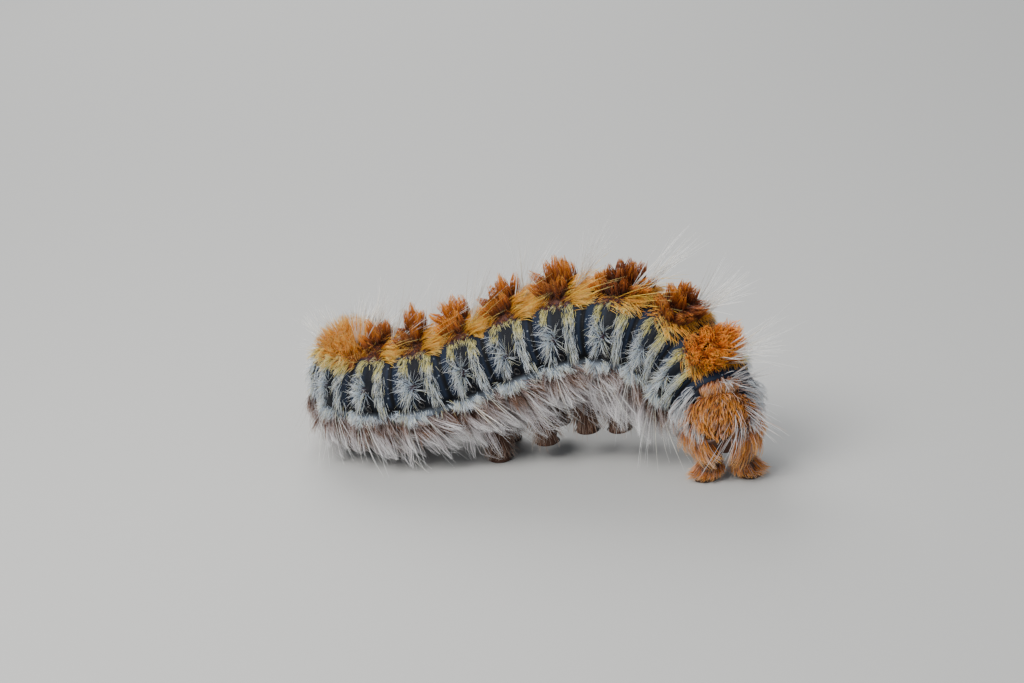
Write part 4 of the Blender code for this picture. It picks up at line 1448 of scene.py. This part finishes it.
    def long_hairs(self) -> None:
        """Thin white hairs in fans that stand over the back behind each tuft."""
        bed = Bed(self.plan, 26)
        fan = Tufts(share=(0.70, 0.82), side=(0, 14), length=(3.4, 4.8), lie=(1.0, 0.30, -0.08), tufts=2,
                    hairs=10, spread=0.10, gather=0.0, arc=0.03, stray=0.2, size=0.018)
        bed.plant(tuple(range(2, 9)), fan)
        bed.plant((9, 10), replace(fan, share=(0.70, 0.84), side=(2, 26), length=(3.4, 5.0),
                                   lie=(1.0, 0.12, 0.0), tufts=5, hairs=12, spread=0.14), sides=(Side.RIGHT,))
        bed.plant((0, 1), replace(fan, share=(0.3, 0.7), side=(8, 50), length=(1.8, 3.0),
                                  lie=(1.0, -0.6, 0.2), tufts=5, hairs=7))
        bed.plant(tuple(range(1, 11)), replace(fan, share=(0.2, 0.8), side=(104, 120), length=(2.9, 3.9),
                                               lie=(0.6, 0.6, 0.7), tufts=4, hairs=4, gather=0.1, size=0.014))
        bed.grow("long_hair", self.tree, LONG_HAIR.make(), 5, 0.2, 0.06 * MM)

    def belly(self) -> None:
        """Short hair under the body and on the soft feet."""
        bed = Bed(self.plan, 27)
        short = Tufts(share=(0.05, 0.95), side=(124, 176), length=(0.6, 1.0), lie=(0.7, 0.5, 0.3), tufts=24,
                      hairs=9, spread=0.18, gather=0.3, arc=0.1, stray=0.3, size=0.02, blend=0.3)
        bed.plant(tuple(range(0, 12)), short)
        for line, shape in self.skin.feet()[:-2]:
            self.foot_hair(bed, line, shape, 240, 0.35)
        bed.grow("belly_hair", self.tree, BELLY_HAIR.make())

    def foot_hair(self, bed: Bed, line: FootLine, shape: Profile, count: int, blend: float) -> None:
        """Plants short hair that hangs down around one soft foot.

        Args:
            bed: The bed to fill.
            line: The foot's line.
            shape: The foot's radii along it.
            count: How many hairs.
            blend: Share of the finish's second colours.
        """
        share = bed.chance.uniform(0.02, 0.78, count)
        turn = bed.chance.uniform(0, 2 * math.pi, count)
        thick = np.interp(share, *zip(*shape)) * MM
        middle, way = line.ring(share, turn)
        root = middle + way * (thick - bed.sunk)[:, None]
        drop = unit(line.sole - line.top)
        heading = unit(way * 0.5 + drop * 0.9 + bed.chance.normal(0, 0.12, (count, 3)))
        length = bed.chance.uniform(0.5, 1.1, count)[:, None] * MM
        half = root + heading * length / 2 + way * 0.08 * length
        bed.add(np.full(count, line.s), np.full(count, math.radians(150)), root, half,
                root + heading * length, bed.chance.uniform(0.014, 0.02, count) * MM,
                bed.chance.normal(blend, 0.25, count), bed.chance.uniform(0, 1, count))

    def tail(self) -> None:
        """The brown plate of the last ring but one, the rust end and the white fans."""
        bed = Bed(self.plan, 28)
        ninth, tenth, far = (Ring.ABDOMEN_9,), (Ring.ABDOMEN_10,), (Side.RIGHT,)
        plate = Tufts(share=(0.50, 0.92), side=(0, 24), length=(0.4, 0.65), lie=(0.45, 1.0, 0.1), tufts=24,
                      hairs=9, spread=0.10, gather=0.3, arc=0.12, stray=0.16, size=0.02, blend=0.85)
        bed.plant(
            ninth, plate,
            replace(plate, share=(0.36, 0.95), side=(36, 106), length=(0.6, 1.1), lie=(0.4, 0.3, 1.0),
                    tufts=26, hairs=12, gather=0.75, size=0.017, blend=-0.2))
        bed.plant(
            tenth,
            replace(plate, share=(0.12, 0.95), side=(0, 62), length=(0.4, 0.7), lie=(0.5, 0.9, 0.3), tufts=46,
                    hairs=10, spread=0.14, stray=0.14, blend=1.1),
            replace(plate, share=(0.10, 0.95), side=(62, 92), length=(0.5, 0.9), lie=(0.4, 0.6, 0.8),
                    tufts=16, hairs=12, gather=0.6, blend=0.35, blend_spread=0.5))
        bed.plant(ninth, replace(plate, share=(0.1, 0.9), side=(84, 132), length=(0.7, 1.2),
                                 lie=(0.4, 0.3, 1.0), tufts=24, hairs=10, gather=0.5, blend=0.0))
        bed.plant(tenth, replace(plate, share=(0.1, 0.9), side=(84, 132), length=(1.0, 1.7),
                                 lie=(0.4, 0.5, 1.0), tufts=28, hairs=12, gather=0.4, blend=0.95,
                                 blend_spread=0.25))
        for line, shape in self.skin.feet()[-2:]:
            self.foot_hair(bed, line, shape, 420, 0.9)
        fan = Tufts(share=(0.5, 0.85), side=(4, 40), length=(2.2, 3.4), lie=(1.0, 0.4, 0.1), tufts=5,
                    hairs=11, spread=0.14, gather=0.0, arc=0.04, stray=0.2, size=0.018)
        bed.plant(ninth, fan, sides=far)
        bed.plant(tenth, replace(fan, share=(0.2, 0.9), side=(30, 84), length=(2.5, 3.6), lie=(1.0, 0.6, 0.2),
                                 tufts=4), sides=far)
        bed.grow("tail_hair", self.tree, TAIL_HAIR.make())

    def face(self) -> None:
        """Fine pale bristles that stand all over the head."""
        bed = Bed(self.plan, 29)
        head = Head(self.plan)
        for _ in range(320):
            share = float(bed.chance.uniform(0.06, 0.88))
            turn = float(bed.chance.uniform(-2.3, 2.3))
            middle, right, raised, forward = head.frame_at(share)
            way = raised * math.cos(turn) - right * math.sin(turn)
            size = head.reach(share) * float(head.relief(share, np.array([turn]))[0])
            root = (middle + way * (size - bed.sunk))[None]
            stand = unit(way + forward * 1.5 * (share - head.widest))
            heading = unit(stand + forward * 0.45 + bed.chance.normal(0, 0.16, 3))[None]
            length = float(bed.chance.uniform(0.35, 0.85)) * MM
            half = root + heading * length / 2 + stand * 0.05 * length
            bed.add(np.zeros(1), np.array([turn]), root, half, root + heading * length,
                    bed.chance.uniform(0.009, 0.014, 1) * MM, bed.chance.uniform(0, 1, 1),
                    bed.chance.uniform(0, 1, 1))
        bed.grow("head_hair", self.tree, HEAD_HAIR.make(), 5, 0.15, 0.02 * MM)


@dataclass
class Head:
    """The round black head with its lobes, lip, jaws, feelers and small eyes."""

    plan: BodyPlan
    length: float = 3.0 * MM
    radius: float = 2.15 * MM
    pitch: float = math.radians(38)
    rise: float = -0.1 * MM
    start: float = -0.15 * MM
    widest: float = 0.36
    fork: float = 0.62
    bends: int = 12
    rows: int = 60
    around: int = 96
    eye_sunk: float = 0.03 * MM
    eye_size: Point = (0.15 * MM, 0.15 * MM, 0.12 * MM)
    feeler_joints: Profile = ((-0.25, 0.3), (0.1, 0.3), (0.22, 0.24), (0.28, 0.2), (0.36, 0.2), (0.6, 0.19),
                              (0.66, 0.13), (0.74, 0.13), (0.94, 0.11), (0.98, 0.04), (1.25, 0.012))

    def build(self, shell: bpy.types.Material, eye: bpy.types.Material) -> None:
        """Builds the head's pieces and dresses them."""
        dress(new_object("head_shell", self.globe()), shell, "head_shell", "head")
        dress(new_object("mouth", self.mouth()), shell, "head_shell")
        dress(new_object("small_eyes", self.eyes()), eye, "head_shell")
        for side in Side:
            feeler = new_object("feeler_" + side.word, self.feeler(side))
            dress(feeler, shell, "head_shell", "antenna_" + side.word)

    def frame_at(self, share: float) -> tuple[Array, Array, Array, Array]:
        """Middle, right, up and forward of the head's section at a share of its length."""
        middle, along, right, up = (part[0] for part in self.plan.axes(np.array([self.start])))
        middle = middle + up * self.rise
        for step in range(self.bends):
            turn = self.pitch * share * (step + 0.5) / self.bends
            forward = -along * math.cos(turn) - up * math.sin(turn)
            middle = middle + forward * self.length * share / self.bends
        turn = self.pitch * share
        forward = -along * math.cos(turn) - up * math.sin(turn)
        return middle, right, up * math.cos(turn) - along * math.sin(turn), forward

    def reach(self, share: float) -> float:
        """Radius of the head at a share of its length."""
        off = abs(share - self.widest) / (1 - self.widest)
        return self.radius * math.sqrt(max(0.0, 1 - min(1.0, off) ** 2.4))

    def surface(self, share: float, angle: float, height: float = 0.0) -> tuple[Array, Array]:
        """A point over the head and the way out of it, at an angle from the crown to the left."""
        middle, right, raised, _ = self.frame_at(share)
        way = raised * math.cos(angle) - right * math.sin(angle)
        return middle + way * (self.reach(share) + height), way

    def relief(self, share: float, angles: Array) -> Array:
        """A factor on the radius for lobes, temples and the crown groove that forks round the face."""
        across = np.abs(wrap(angles))
        crown = bell(across, 0, 0.11) * (1 - smooth(self.fork, 0.7, share))
        fork = bell(across, 0.25 + 1.1 * (share - self.fork), 0.09) * (share > self.fork)
        lobes = 0.035 * bell(across, 0.75, 0.5) * window(share, 0.1, 0.85, 0.15)
        temple = 0.03 * bell(across, 1.9, 0.35)
        return 1 - 0.09 * crown - 0.035 * fork + lobes + temple

    def globe(self) -> bpy.types.Mesh:
        """The shell of the head."""
        shares = 0.5 - 0.5 * np.cos(np.linspace(0.0, math.pi, self.rows + 1))[:-1]
        around = full_turn(self.around)
        points = []
        for share in map(float, shares):
            middle, right, raised, _ = self.frame_at(share)
            way = circle(0.0, raised, -right, around)
            points.append(middle + way * (self.reach(share) * self.relief(share, around))[:, None])
        points.append(self.frame_at(1.0)[0][None])
        return mesh_from("head_shell", np.concatenate(points), tube_faces(len(shares), self.around, True))

    def blob(self, middle: Array, axes: tuple[Array, Array, Array], sizes: Point,
             notch: float = 0.0) -> tuple[Array, Faces]:
        """A rounded horny plate or jaw, notched at its lower edge where notch is given.

        Args:
            middle: Its middle.
            axes: Ways across, up and forward.
            sizes: Half sizes along them.
            notch: Depth of the notch as a share of its height.

        Returns:
            Points and faces.
        """
        rings, sides = 16, 28
        tilt = np.linspace(0.06, math.pi - 0.06, rings)
        around = full_turn(sides)
        across = np.sin(tilt)[:, None] * np.cos(around)
        high = np.sin(tilt)[:, None] * np.sin(around)
        deep = np.cos(tilt)[:, None] * np.ones(sides)
        high = high * np.where(high < 0, 1 - notch * np.exp(-((across / 0.22) ** 2)), 1.0)
        across = np.sign(across) * np.abs(across) ** 0.85
        grid = (across[..., None] * axes[0] * sizes[0] + high[..., None] * axes[1] * sizes[1]
                + deep[..., None] * axes[2] * sizes[2])
        return (middle + grid).reshape(-1, 3), tube_faces(rings, sides)

    def mouth(self) -> bpy.types.Mesh:
        """The lip, the two jaws and the palps under them."""
        middle, right, raised, forward = self.frame_at(0.9)
        chin = middle - raised * self.radius * 0.58 + forward * 0.1 * MM
        parts = [
            self.blob(chin + forward * 0.3 * MM + raised * 0.08 * MM, (right, raised, forward),
                      (0.56 * MM, 0.42 * MM, 0.42 * MM), 0.45),
            self.blob(chin + forward * 0.28 * MM + raised * 0.42 * MM, (right, raised, forward),
                      (0.66 * MM, 0.22 * MM, 0.3 * MM)),
        ]
        for turn in (-1, 1):
            jaw = chin - right * turn * 0.36 * MM - raised * 0.3 * MM + forward * 0.12 * MM
            lean = unit(raised + right * turn * 0.35)
            parts.append(self.blob(jaw, (unit(np.cross(lean, forward)), lean, forward),
                                   (0.34 * MM, 0.42 * MM, 0.36 * MM)))
            palp = chin - right * turn * 0.3 * MM - raised * 0.62 * MM - forward * 0.05 * MM
            for size, drop in ((0.17, 0.0), (0.13, 0.16), (0.08, 0.29)):
                parts.append(self.blob(palp - raised * drop * MM, (right, raised, forward),
                                       (size * MM, 0.12 * MM, size * MM)))
        parts.append(self.blob(chin - raised * 0.6 * MM - forward * 0.15 * MM, (right, raised, forward),
                               (0.2 * MM, 0.3 * MM, 0.2 * MM)))
        return join_parts("mouth", parts)

    def eyes(self) -> bpy.types.Mesh:
        """Six small glossy eyes in an arc on each side of the face."""
        parts = []
        for side in Side:
            for number in range(6):
                turn = math.radians(-70 + 56 * number)
                share = 0.7 + 0.1 * math.cos(turn)
                angle = side.value * (math.radians(112) + 0.22 * math.sin(turn))
                point, way = self.surface(share, angle, -self.eye_sunk)
                first = unit(np.cross(way, np.array([0.3, 0.2, 0.9])))
                parts.append(self.blob(point, (first, np.cross(way, first), way), self.eye_size))
        return join_parts("small_eyes", parts)

    def feeler(self, side: Side) -> bpy.types.Mesh:
        """A short jointed feeler beside the jaws, with a fine bristle at its end."""
        point, way = self.surface(0.84, side.value * math.radians(128))
        run = unit(way * 0.55 + self.frame_at(0.84)[3] * 0.85)
        root = point + way * 0.15 * MM
        first = unit(np.cross(run, way)) * MM
        second = np.cross(run, first)
        around = full_turn(20)
        points = [circle(root + run * far * MM, first * size, second * size, around)
                  for far, size in self.feeler_joints]
        return mesh_from("feeler", np.concatenate(points), tube_faces(len(points), len(around)))


@dataclass
class FootHooks:
    """The crescent of tiny hooks around the sole of each soft foot.

    The path is each hook's distance out from the sole's rim, height and thickness in millimetres.
    """

    skin: Skin
    hooks: int = 19
    arc: float = math.radians(230)
    rim: float = 0.94
    path: tuple[Point, ...] = ((0.0, 0.17, 0.030), (0.06, 0.15, 0.030), (0.12, 0.10, 0.026),
                               (0.14, 0.05, 0.018), (0.11, 0.015, 0.006))

    def build(self, finish: bpy.types.Material) -> None:
        """Builds all the hooks as one piece."""
        parts = [part for line, shape in self.skin.feet() for part in self.crescent(line, shape[-1][1] * MM)]
        dress(new_object("foot_hooks", join_parts("foot_hooks", parts)), finish, "leg_shell")

    def crescent(self, line: FootLine, sole: float) -> list[tuple[Array, Faces]]:
        """The hooks of one foot, along the side of its sole that faces the other foot.

        Args:
            line: The foot's line.
            sole: Radius of its sole.

        Returns:
            Points and faces of each hook.
        """
        parts = []
        around, upright = full_turn(6), np.array([0, 0, 1.0])
        for turn in np.linspace(math.pi - self.arc / 2, math.pi + self.arc / 2, self.hooks):
            middle, way = (part[0] for part in line.ring(np.array([1.0]), np.array([turn])))
            across = np.array([-way[1], way[0], 0.0])
            rings = []
            for number, (out, height, thick) in enumerate(self.path):
                before = self.path[max(number - 1, 0)]
                after = self.path[min(number + 1, len(self.path) - 1)]
                run = unit(way * (after[0] - before[0]) + upright * (after[1] - before[1]))
                point = middle + way * (sole * self.rim + out * MM) + upright * height * MM
                rings.append(circle(point, across * thick * MM, np.cross(run, across) * thick * MM, around))
            parts.append((np.concatenate(rings), tube_faces(len(rings), len(around))))
        return parts


@dataclass
class TrueLegs:
    """The six short jointed black legs under the thorax.

    The joints are shares of the leg's length and radii in millimetres, and each is thinner than
    the one before it.
    """

    plan: BodyPlan
    skin: Skin
    offset: float = 1.0 * MM
    rows: int = 44
    around: int = 22
    joints: Profile = ((0.0, 0.5), (0.16, 0.55), (0.3, 0.5), (0.36, 0.4), (0.42, 0.46), (0.56, 0.44),
                       (0.6, 0.34), (0.64, 0.39), (0.8, 0.33), (0.83, 0.25), (0.86, 0.29), (0.94, 0.2),
                       (1.0, 0.05))

    def build(self, finish: bpy.types.Material) -> None:
        """Builds and dresses each leg."""
        for ring in THORAX:
            for side in Side:
                name = "leg_" + str(ring + 1) + "_" + side.word
                dress(new_object("true_" + name, self.leg(ring, side)), finish, "leg_shell", name)

    def line(self, ring: int, side: Side) -> tuple[Array, Array]:
        """The middle line of a leg from inside the body to its claw, and the way along the body there."""
        s = float(self.plan.starts[ring] + self.plan.starts[ring + 1]) / 2
        root, out, up = self.skin.under(s, side.value * self.offset)
        along = self.plan.axes(np.array([s]))[1][0]
        top = root - up * 0.52 * MM
        knee = top + out * 0.5 * MM - along * 0.2 * MM - up * 0.4 * MM
        knee[2] = max(knee[2], 0.45 * MM)
        foot = top + out * 0.35 * MM - along * 0.65 * MM
        foot[2] = 0.05 * MM
        ankle = foot + out * 0.05 * MM + np.array([0, 0, 0.38 * MM])
        path = np.array([root + up * 0.3 * MM, root - up * 0.1 * MM, top, knee, ankle,
                         foot - along * 0.08 * MM])
        shares, knots = np.linspace(0, 1, self.rows), np.linspace(0, 1, len(path))
        line = np.stack([np.interp(shares, knots, column) for column in path.T], axis=1)
        for _ in range(3):
            line[1:-1] = (line[:-2] + 2 * line[1:-1] + line[2:]) / 4
        return line, along

    def leg(self, ring: int, side: Side) -> bpy.types.Mesh:
        """One leg: hip, thigh, shin, foot and claw."""
        line, along = self.line(ring, side)
        size = np.interp(np.linspace(0, 1, self.rows), *zip(*self.joints)) * MM
        points = []
        for number, (point, thick) in enumerate(zip(line, size)):
            run = unit(line[min(number + 1, self.rows - 1)] - line[max(number - 1, 0)])
            first = unit(np.cross(run, along))
            points.append(circle(point, first * thick, np.cross(run, first) * thick, full_turn(self.around)))
            points[-1][:, 2] = np.maximum(points[-1][:, 2], 0.005 * MM)
        return mesh_from("true_leg", np.concatenate(points), tube_faces(self.rows, self.around))


@dataclass
class Spiracles:
    """The black breathing holes along both sides, each a raised rim round a sunken slit.

    The profile is shares of the radius and heights over the skin in millimetres.
    """

    plan: BodyPlan
    rings: tuple[int, ...] = (0,) + TUFTED
    side_angle: float = math.radians(93.0)
    share: float = 0.52
    radius: float = 0.2 * MM
    long: float = 1.15
    narrow: float = 0.85
    profile: Profile = ((1.15, -0.12), (1.1, 0.03), (0.95, 0.09), (0.78, 0.07), (0.62, -0.01), (0.25, -0.03))

    def build(self, finish: bpy.types.Material) -> None:
        """Builds all the holes as one piece."""
        parts = [self.hole(ring, side) for ring in self.rings for side in Side]
        dress(new_object("spiracles", join_parts("spiracles", parts)), finish, "head_shell")

    def hole(self, ring: int, side: Side) -> tuple[Array, Faces]:
        """One rim and slit."""
        s = np.array([self.plan.starts[ring] + self.share * self.plan.lengths[ring] * MM])
        angle, height = np.array([self.side_angle * side.value]), np.array([0.0])
        point = self.plan.point(s, angle, height)[0]
        first = unit(self.plan.point(s + 0.1 * MM, angle, height)[0] - point)
        second = unit(self.plan.point(s, angle + 0.04 * side.value, height)[0] - point)
        way = unit(np.cross(first, second))
        way = way * np.sign(np.dot(way, point - self.plan.axes(s)[0][0]))
        first, second = first * self.narrow * self.radius, second * self.long * self.radius
        around = full_turn(24)
        points = [circle(point + way * high * MM, first * wide, second * wide, around)
                  for wide, high in self.profile]
        return np.concatenate(points), tube_faces(len(points), len(around))


@dataclass(frozen=True)
class Lamp:
    """A square soft light: its place and side in metres, power in watts and colour."""

    name: str
    place: Point
    side: float
    watts: float
    tint: Point


@dataclass
class Studio:
    """The floor, the soft light and the camera."""

    eye: Point = (8.47 * MM, -126.8 * MM, 49.09 * MM)
    azimuth: float = math.radians(-4.03)
    elevation: float = math.radians(18.5)
    roll: float = math.radians(-8.16)
    pixels: float = 2400.0
    width: int = 1024
    sensor: float = 36.0
    floor_half: float = 1.5
    aim: Point = (0.0, 0.0, 0.004)
    sky: Shade = (0.86, 0.92, 1.0, 1.0)
    sky_strength: float = 0.5
    lamps: tuple[Lamp, ...] = (
        Lamp("key", (-0.06, -0.05, 0.12), 0.08, 0.26, (1.0, 0.975, 0.94)),
        Lamp("fill", (0.12, -0.12, 0.07), 0.12, 0.05, (0.93, 0.97, 1.0)),
        Lamp("back", (-0.05, 0.22, 0.17), 0.15, 0.58, (1.0, 0.98, 0.95)),
    )

    def build(self) -> None:
        """Builds the studio."""
        self.floor()
        self.camera()
        for lamp in self.lamps:
            self.light(lamp)
        world = bpy.data.worlds.new("studio")
        world.use_nodes = True
        sky = world.node_tree.nodes["Background"]
        sky.inputs["Color"].default_value = self.sky
        sky.inputs["Strength"].default_value = self.sky_strength
        bpy.context.scene.world = world

    def floor(self) -> None:
        """A wide plain floor."""
        mesh = bpy.data.meshes.new("floor")
        half = self.floor_half
        corners = [(-half, -half, 0), (half, -half, 0), (half, half, 0), (-half, half, 0)]
        mesh.from_pydata(corners, [], [(0, 1, 2, 3)])
        made = new_object("floor", mesh)
        made.data.materials.append(FloorFinish().make())

    def camera(self) -> None:
        """The camera, rolled as the photo's was."""
        forward = Vector((math.sin(self.azimuth) * math.cos(self.elevation),
                          math.cos(self.azimuth) * math.cos(self.elevation), -math.sin(self.elevation)))
        right = forward.cross(Vector((0, 0, 1))).normalized()
        up = right.cross(forward)
        turned = right * math.cos(self.roll) + up * math.sin(self.roll)
        raised = -right * math.sin(self.roll) + up * math.cos(self.roll)
        data = bpy.data.cameras.new("camera")
        data.sensor_width = self.sensor
        data.lens = self.pixels * self.sensor / self.width
        data.clip_start = 0.001
        data.clip_end = 10.0
        made = bpy.data.objects.new("camera", data)
        turn = Matrix((turned, raised, -forward)).transposed().to_4x4()
        made.matrix_world = Matrix.Translation(self.eye) @ turn
        bpy.context.scene.collection.objects.link(made)
        bpy.context.scene.camera = made

    def light(self, lamp: Lamp) -> None:
        """A light that faces the larva."""
        data = bpy.data.lights.new(lamp.name, "AREA")
        data.size = lamp.side
        data.energy = lamp.watts
        data.color = lamp.tint
        made = bpy.data.objects.new(lamp.name, data)
        made.location = lamp.place
        made.rotation_euler = (Vector(self.aim) - Vector(lamp.place)).to_track_quat("-Z", "Y").to_euler()
        bpy.context.scene.collection.objects.link(made)


def main() -> None:
    """Builds the larva and its studio."""
    logging.basicConfig(level=logging.INFO, format="%(message)s")
    plan = BodyPlan()
    Studio().build()
    skin = Skin(plan, Markings(plan))
    skin.build(SkinFinish().make())
    shell = ShellFinish("head_black", srgb(4, 4, 5), srgb(24, 18, 17), 0.27).make()
    eye = ShellFinish("eye_gloss", srgb(6, 5, 6), srgb(30, 22, 18), 0.18).make()
    claw = ShellFinish("leg_black", srgb(16, 11, 9), srgb(74, 44, 28), 0.34).make()
    Head(plan).build(shell, eye)
    TrueLegs(plan, skin).build(claw)
    Spiracles(plan).build(eye)
    FootHooks(skin).build(claw)
    Coat(plan, skin, HairTree()).build()


if __name__ == "__main__":
    main()
